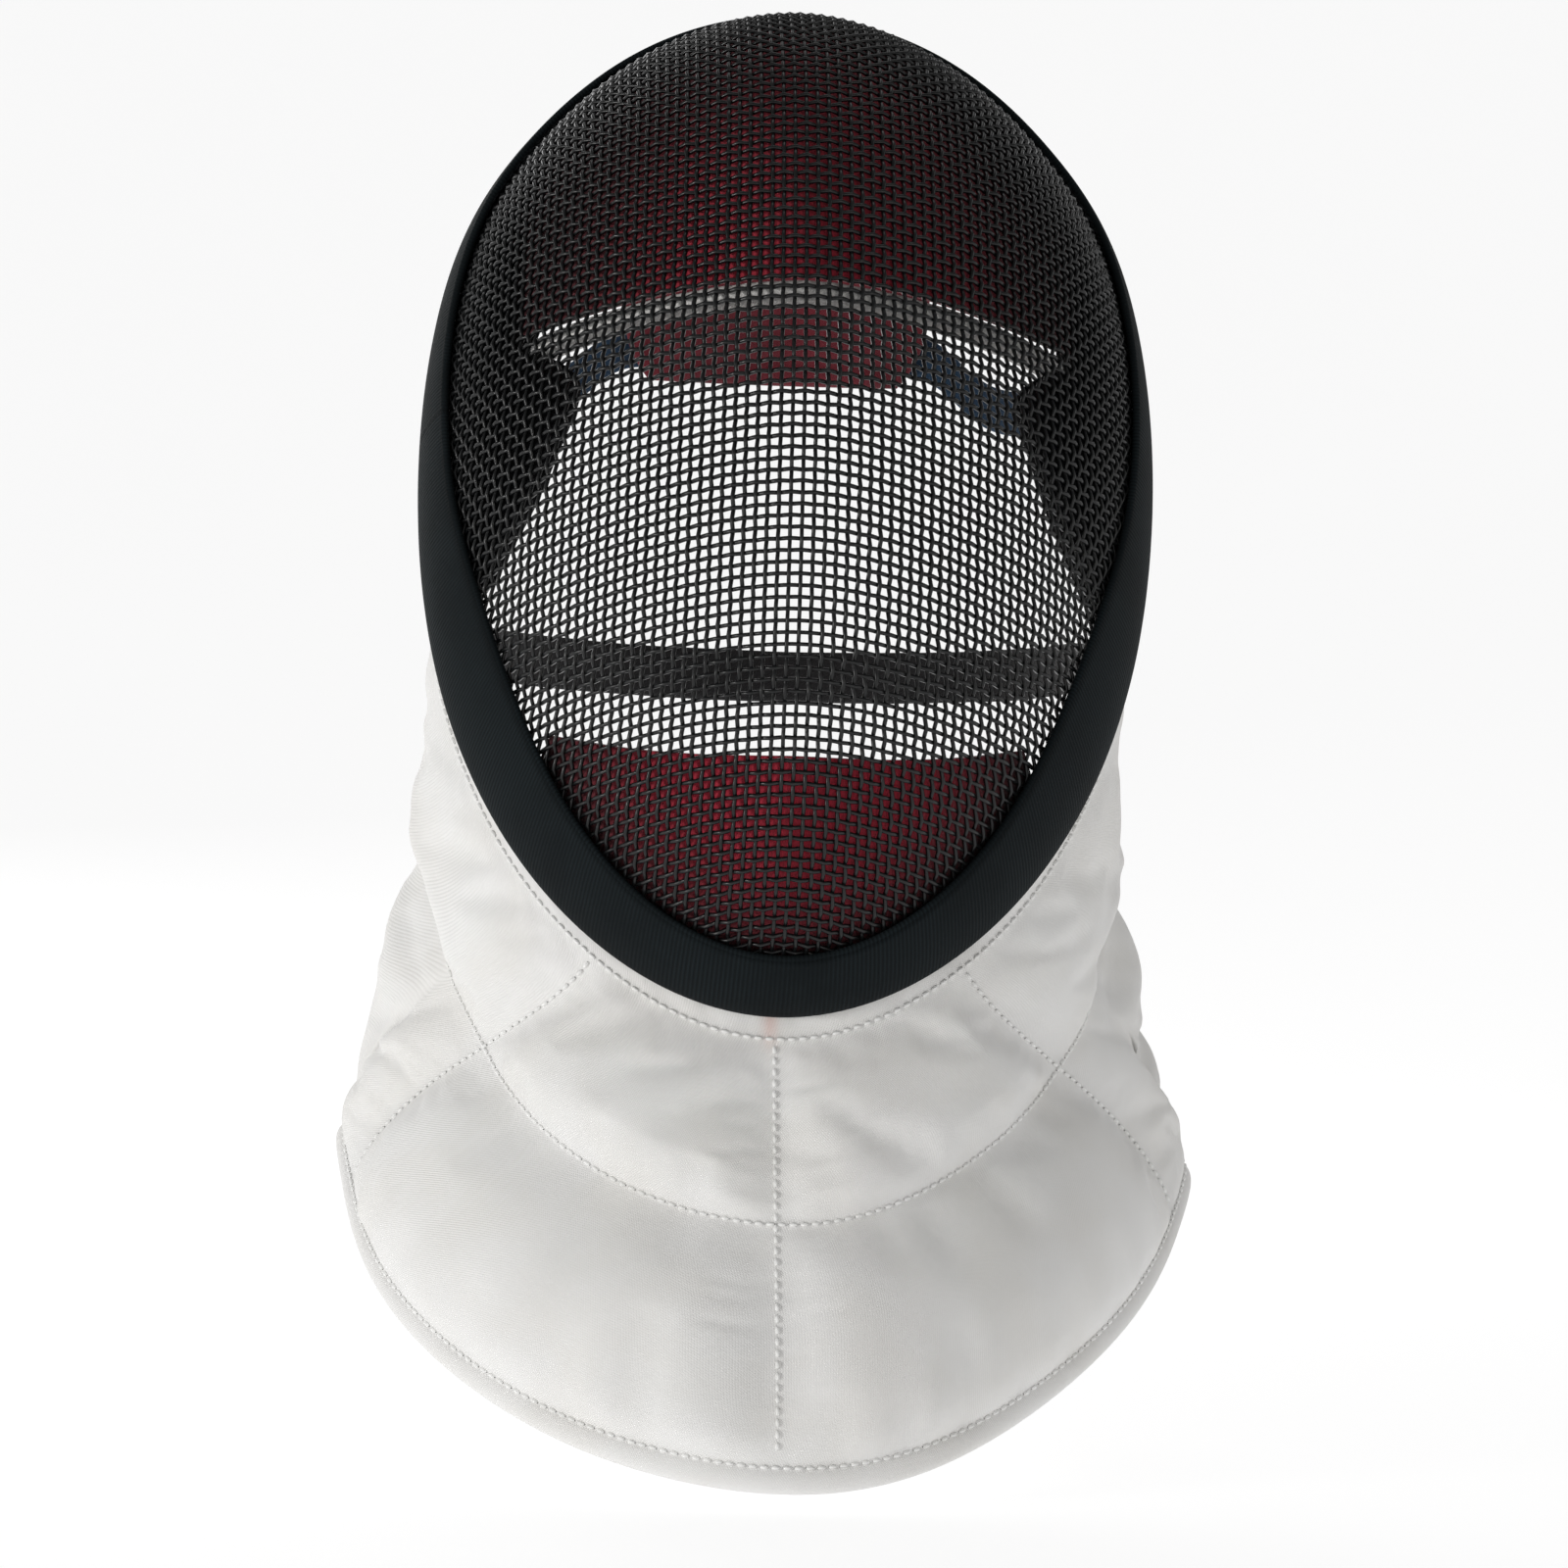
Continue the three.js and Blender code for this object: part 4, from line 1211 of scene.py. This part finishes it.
@dataclass
class Stay(Elastic):
    """Navy stay from the rim to a lower corner of the tongue."""

    tongue: Tongue = field(default_factory=Tongue)
    along: float = 0.93
    sewn: tuple[float, float] = (48.0, 30.0)

    def build(self, finish: "Finish") -> None:
        """Make the stay on either side."""
        u = np.linspace(0.0, 1.0, 120)
        across = np.array(self.sewn) * 2.0 / self.tongue.width(self.along)
        half = np.array([self.tongue.half(a, self.along) for a in across])
        lift = half + PAD_GAP + self.wall / 2.0
        ends = self.tongue.on(across, np.full(2, self.along), lift)
        stops = np.concatenate([self.start(), ends])
        for name, side in (("left", -1.0), ("right", 1.0)):
            turned = stops * (side, 1.0, 1.0)
            skin = self.skin(turned, np.full_like(u, side), 1.0 - u)
            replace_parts(piece(f"stay_band_{name}", skin, finish), f"tongue_stay_{name}")


BARE_WIRE = (0.16, 0.165, 0.17)
STAIN = (0.72, 0.42, 0.36)
# Painted shade: the near-black red that the crown and chin pads darken to towards their borders.
PAINTED_SHADE_PILE = (0.012, 0.006, 0.008)


class Weave(Enum):
    """What the surface of a finish is made of."""

    LACQUER = "lacquer"
    TWILL = "twill"
    RIB = "rib"
    PILE = "pile"
    ELASTIC = "elastic"


class Board:
    """Short way of wiring a material's nodes."""

    mix_inputs = (0, 6, 7)
    mix_output = 2

    def __init__(self, name: str) -> None:
        """Start a material with a principled shader."""
        self.made = bpy.data.materials.new(name)
        self.made.use_nodes = True
        self.nodes = self.made.node_tree.nodes
        self.shader = self.nodes["Principled BSDF"]

    def add(self, kind: str, **values: object) -> bpy.types.Node:
        """Add a node, setting each named property or input."""
        node = self.nodes.new(kind)
        for key, value in values.items():
            if hasattr(node, key):
                setattr(node, key, value)
            else:
                node.inputs[key.replace("_", " ").title()].default_value = value
        return node

    def feed(self, socket: bpy.types.NodeSocket, value: object) -> None:
        """Wire an input to another socket, or set its number or colour."""
        if isinstance(value, bpy.types.NodeSocket):
            self.made.node_tree.links.new(value, socket)
        else:
            socket.default_value = (*value, 1.0) if isinstance(value, tuple) else value

    def maths(self, kind: str, a: object, b: object = 0.0) -> bpy.types.NodeSocket:
        """Result of a sum on sockets or numbers."""
        node = self.add("ShaderNodeMath", operation=kind)
        for socket, value in zip(node.inputs, (a, b)):
            self.feed(socket, value)
        return node.outputs[0]

    def place(self) -> bpy.types.NodeSocket:
        """Place on the piece, in its own coordinates."""
        return self.add("ShaderNodeTexCoord").outputs["Object"]

    def mark(self, name: str) -> bpy.types.NodeSocket:
        """Value of a mark that the piece carries, 0 where it has none."""
        return self.add("ShaderNodeAttribute", attribute_name=name).outputs["Fac"]

    def noise(self, scale: float, detail: float = 4.0) -> bpy.types.NodeSocket:
        """Cloudy noise over the piece."""
        node = self.add("ShaderNodeTexNoise", scale=scale, detail=detail)
        self.feed(node.inputs["Vector"], self.place())
        return node.outputs["Fac"]

    def blend(self, share: object, a: object, b: object) -> bpy.types.NodeSocket:
        """Colour between a and b."""
        node = self.add("ShaderNodeMix", data_type="RGBA")
        for number, value in zip(self.mix_inputs, (share, a, b)):
            self.feed(node.inputs[number], value)
        return node.outputs[self.mix_output]

    def ramp(self, value: object, low: float, high: float) -> bpy.types.NodeSocket:
        """Value mapped smoothly from low to high onto 0 to 1."""
        node = self.add(
            "ShaderNodeMapRange", interpolation_type="SMOOTHSTEP", from_min=low, from_max=high
        )
        self.feed(node.inputs["Value"], value)
        return node.outputs["Result"]

    def bands(self, pitch: float, slant: float) -> bpy.types.NodeSocket:
        """Rounded ridges on the cloth map, a pitch apart in millimetres.

        Args:
            pitch: Distance from ridge to ridge.
            slant: How far a ridge shifts along for each millimetre across.

        Returns:
            Height of the ridges, 0 to 1.
        """
        split = self.add("ShaderNodeSeparateXYZ")
        self.feed(split.inputs[0], self.add("ShaderNodeUVMap", uv_map="cloth").outputs["UV"])
        shift = self.maths("MULTIPLY", split.outputs["Y"], slant)
        along = self.maths("ADD", split.outputs["X"], shift)
        turn = self.maths("MULTIPLY", along, 2 * math.pi / pitch)
        return self.maths("MULTIPLY", self.maths("ADD", self.maths("SINE", turn), 1.0), 0.5)


@dataclass(frozen=True)
class Finish:
    """Look of one surface."""

    name: str
    slot: Slot
    weave: Weave
    base: tuple[float, float, float]
    shade: tuple[float, float, float]
    rough: float = 0.85
    sheen: float = 0.0
    pitch: float = 1.0
    depth: float = 0.12
    gloss: float = 0.4
    bump: float = 0.6

    def material(self) -> bpy.types.Material:
        """The finish as a material, made once."""
        return bpy.data.materials.get(self.name) or self.make()

    def make(self) -> bpy.types.Material:
        """Wire the colour, the wear and the weave of the finish."""
        board = Board(self.name)
        shader = board.shader
        shader.inputs["Roughness"].default_value = self.rough
        shader.inputs["Sheen Weight"].default_value = self.sheen
        shader.inputs["Specular IOR Level"].default_value = self.gloss
        cloudy = board.ramp(board.noise(38.0), 0.35, 0.68)
        colour = board.blend(cloudy, self.base, self.shade)
        if self.weave is Weave.LACQUER:
            crest = board.ramp(board.mark("crest"), 0.5, 1.0)
            rubbed = board.maths("MULTIPLY", crest, board.noise(900.0, 2.0))
            colour = board.blend(board.maths("MULTIPLY", rubbed, 0.05), colour, BARE_WIRE)
            height = board.noise(2600.0, 2.0)
        elif self.weave is Weave.TWILL:
            fine = board.bands(self.pitch, 0.8)
            cross = board.bands(self.pitch * 0.9, -1.1)
            height = board.maths("ADD", fine, board.maths("MULTIPLY", cross, 0.5))
            colour = board.blend(board.maths("MULTIPLY", fine, 0.10), colour, self.shade)
            stain = board.maths("MULTIPLY", board.mark("stain"), 0.5)
            colour = board.blend(stain, colour, STAIN)
        elif self.weave is Weave.PILE:
            height = board.maths("ADD", board.noise(1500.0, 3.0), board.bands(self.pitch, 0.0))
            colour = board.blend(board.ramp(board.noise(1500.0, 3.0), 0.3, 0.7), colour, self.shade)
            # Painted shade: the pile darkens towards a pad's sides and rim, as far as the pad's
            # mark says.
            colour = board.blend(board.mark("painted_shade"), colour, PAINTED_SHADE_PILE)
        else:
            ridge = board.bands(self.pitch, 0.0 if self.weave is Weave.RIB else 3.0)
            thread = board.noise(1800.0, 3.0)
            height = board.maths("ADD", ridge, board.maths("MULTIPLY", thread, 0.5))
            colour = board.blend(board.ramp(ridge, 0.2, 0.9), self.shade, colour)
        bump = board.add("ShaderNodeBump", strength=self.bump, distance=self.depth * MM)
        board.feed(bump.inputs["Height"], height)
        board.feed(shader.inputs["Base Color"], colour)
        board.feed(shader.inputs["Normal"], bump.outputs["Normal"])
        return board.made


@dataclass(frozen=True)
class Finishes:
    """All the finishes of the mask."""

    wire: Finish = Finish(
        "black_lacquer", Slot.WIRE, Weave.LACQUER, (0.003, 0.0033, 0.0036), (0.005, 0.0054, 0.0058),
        rough=0.28, gloss=0.32, depth=0.02,
    )
    trim: Finish = Finish(
        "ribbed_binding", Slot.TRIM, Weave.RIB, (0.0065, 0.0105, 0.0125), (0.0028, 0.0048, 0.0058),
        rough=0.85, gloss=0.12, pitch=1.2, depth=0.2,
    )
    bib: Finish = Finish(
        "bib_twill", Slot.BIB, Weave.TWILL, (0.79, 0.785, 0.775), (0.765, 0.755, 0.735),
        rough=0.9, sheen=0.1, pitch=0.75, depth=0.14,
    )
    pad: Finish = Finish(
        "red_pile", Slot.PAD, Weave.PILE, (0.50, 0.026, 0.055), (0.38, 0.016, 0.036),
        rough=0.95, sheen=0.4, pitch=1.6, depth=0.25,
    )
    side_pad: Finish = Finish(
        "black_pile", Slot.SIDE_PAD, Weave.PILE, (0.009, 0.009, 0.010), (0.004, 0.004, 0.005),
        rough=0.95, gloss=0.1, pitch=1.6, depth=0.25,
    )
    piping: Finish = Finish(
        "white_piping", Slot.PIPING, Weave.TWILL, (0.90, 0.89, 0.87), (0.80, 0.79, 0.77),
        rough=0.85, sheen=0.15, pitch=0.9, depth=0.12,
    )
    tongue: Finish = Finish(
        "dark_red_cloth", Slot.TONGUE, Weave.TWILL, (0.15, 0.010, 0.020), (0.10, 0.006, 0.013),
        rough=0.9, sheen=0.2, pitch=1.0, depth=0.12,
    )
    strap: Finish = Finish(
        "black_elastic", Slot.STRAP, Weave.ELASTIC, (0.012, 0.012, 0.013), (0.005, 0.005, 0.006),
        rough=0.75, sheen=0.1, pitch=1.4, depth=0.2,
    )
    stay: Finish = Finish(
        "navy_elastic", Slot.STAY, Weave.ELASTIC, (0.018, 0.065, 0.130), (0.010, 0.040, 0.085),
        rough=0.75, sheen=0.1, pitch=1.4, depth=0.2,
    )
    thread: Finish = Finish(
        "white_thread", Slot.BIB, Weave.LACQUER, (0.82, 0.82, 0.81), (0.74, 0.74, 0.72),
        rough=0.7, depth=0.03,
    )
    dark_thread: Finish = Finish(
        "red_thread", Slot.TONGUE, Weave.LACQUER, (0.17, 0.012, 0.022), (0.12, 0.008, 0.016),
        rough=0.7, depth=0.03,
    )


@dataclass
class Lamp:
    """One soft light that faces the mask."""

    name: str
    place: tuple[float, float, float]
    power: float
    size: float
    colour: tuple[float, float, float]
    aim: tuple[float, float, float] = (0.0, 0.0, -0.18)

    def build(self) -> bpy.types.Object:
        """Hang the light."""
        light = bpy.data.lights.new(self.name, "AREA")
        light.shape = "DISK"
        light.size, light.energy, light.color = self.size, self.power, self.colour
        obj = placed(self.name, light)
        obj.location = self.place
        facing = Vector(self.aim) - Vector(self.place)
        obj.rotation_euler = facing.to_track_quat("-Z", "Y").to_euler()
        return obj


@dataclass
class Studio:
    """Pale floor that sweeps up far away, soft lights, and the camera of the photograph."""

    floor_gap: float = 0.004
    glow: float = 0.52
    low_glow: float = 0.32
    glow_reach: tuple[float, float] = (-2.2, -0.7)
    flat: float = 1.3
    sweep: float = 2.4
    sweep_turn: float = math.pi / 2.2
    spokes: int = 96
    air: float = 0.18
    azimuth: float = math.radians(-2.5)
    roll: float = math.radians(1.8)
    distance: float = 1245.0
    sideways: float = 3.8
    height: float = 63.6
    focal: float = 4257.0
    picture: float = 1600.0
    sensor: float = 36.0
    lamps: tuple[Lamp, ...] = (
        Lamp("key", (-1.6, -1.0, -0.15), 13.0, 0.4, (1.0, 0.99, 0.97)),
        Lamp("fill", (0.6, -1.9, -0.1), 2.6, 0.5, (1.0, 0.96, 0.90)),
        Lamp("top", (0.1, 0.3, 1.6), 4.0, 1.2, (1.0, 1.0, 1.0)),
        Lamp("rear", (-0.6, 1.6, 0.6), 8.0, 1.4, (1.0, 1.0, 1.0)),
    )

    def floor(self, low: float) -> bpy.types.Object:
        """Round floor below the mask, swept up at its border."""
        turn = np.linspace(0.0, self.sweep_turn, 24)[1:]
        level = np.linspace(0.0, self.flat, 12)[1:]
        reach = np.concatenate([level, self.flat + self.sweep * np.sin(turn)])[:, None]
        rise = np.concatenate([0.0 * level, self.sweep * (1.0 - np.cos(turn))])[:, None]
        around = np.linspace(0.0, 2.0 * np.pi, self.spokes, endpoint=False)
        base = low - self.floor_gap
        rings = np.broadcast_arrays(reach * np.cos(around), reach * np.sin(around), rise + base)
        points = np.stack(rings, axis=-1).reshape(-1, 3)
        index = np.arange(len(points)).reshape(-1, self.spokes)
        index = np.concatenate([index, index[:, :1]], axis=1)
        hub = np.full(self.spokes, len(points))
        fan = np.stack([hub, index[0, :-1], index[0, 1:]], axis=1)
        mesh = bpy.data.meshes.new("floor")
        faces = grid_quads(index)[:, ::-1].tolist() + fan.tolist()
        mesh.from_pydata([*points.tolist(), (0.0, 0.0, base)], [], faces)
        mesh.shade_smooth()
        mesh.materials.append(self.floor_material())
        return placed("floor", mesh)

    def floor_material(self) -> bpy.types.Material:
        """Pale matt floor that glows, more so behind the mask."""
        board = Board("pale_floor")
        inputs = board.shader.inputs
        board.feed(inputs["Base Color"], board.blend(board.noise(3.0), (0.22,) * 3, (0.20,) * 3))
        inputs["Roughness"].default_value = 0.9
        inputs["Emission Color"].default_value = (1.0, 1.0, 1.0, 1.0)
        split = board.add("ShaderNodeSeparateXYZ")
        board.feed(split.inputs[0], board.place())
        behind = board.ramp(split.outputs["Y"], *self.glow_reach)
        light = board.maths("ADD", board.maths("MULTIPLY", behind, self.glow), self.low_glow)
        board.feed(inputs["Emission Strength"], light)
        return board.made

    def camera(self) -> bpy.types.Object:
        """Camera level with the mask's chin, as far and as long as in the photograph."""
        ahead = Vector((-math.sin(self.azimuth), math.cos(self.azimuth), 0.0))
        right = Vector((math.cos(self.azimuth), math.sin(self.azimuth), 0.0))
        up = Vector(UP)
        place = right * self.sideways - ahead * self.distance + up * self.height - Vector(SEAT)
        across = right * math.cos(self.roll) + up * math.sin(self.roll)
        top = up * math.cos(self.roll) - right * math.sin(self.roll)
        lens = bpy.data.cameras.new("photo_camera")
        lens.lens = self.sensor * self.focal / self.picture
        lens.sensor_width = self.sensor
        lens.clip_start, lens.clip_end = 0.05, 30.0
        obj = placed("photo_camera", lens)
        turn = Matrix((across, top, -ahead)).transposed().to_4x4()
        obj.matrix_world = Matrix.Translation(place * MM) @ turn
        bpy.context.scene.camera = obj
        return obj

    def build(self, low: float) -> None:
        """Set up the floor, the lights, the sky and the camera."""
        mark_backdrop(self.floor(low), *(lamp.build() for lamp in self.lamps), self.camera())
        world = bpy.data.worlds.new("studio_air")
        world.use_nodes = True
        sky = world.node_tree.nodes["Background"]
        sky.inputs["Color"].default_value = (1.0, 1.0, 1.0, 1.0)
        sky.inputs["Strength"].default_value = self.air
        bpy.context.scene.world = world
        bpy.context.scene.view_settings.view_transform = "Standard"


def plain(box: Sequence[Sequence[float]]) -> list[list[float]]:
    """A box as plain lists."""
    return [[float(value) for value in corner] for corner in box]


def main() -> None:
    """Build the mask in the order it is put together, then the studio."""
    logging.basicConfig(level=logging.INFO, format="%(message)s")
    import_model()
    frame_box = plain(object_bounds())
    dome = Dome()
    look = Finishes()
    WireWeave(dome).build(look.wire)
    RimTrim(dome).build(look.trim)
    Bib(dome).build(look.bib, look.thread)
    Pads(dome).build(look.pad, look.side_pad, look.piping)
    tongue = Tongue()
    tongue.build(look.tongue, look.dark_thread)
    round_nape = ((89, 6, 101), (75, 44, 99.5), (40, 70, 98), (0, 76, 97.5))
    NapeStrap(dome, rim_angle=-29.0, width=16.0, wall=2.4, stops=round_nape).build(look.strap)
    to_tongue = ((90, 36, 179), (68, 74, 185))
    stay = Stay(dome, rim_angle=11.0, width=14.0, wall=2.0, stops=to_tongue, tongue=tongue)
    stay.build(look.stay)
    Studio().build(frame_box[0][2])


if __name__ == "__main__":
    main()
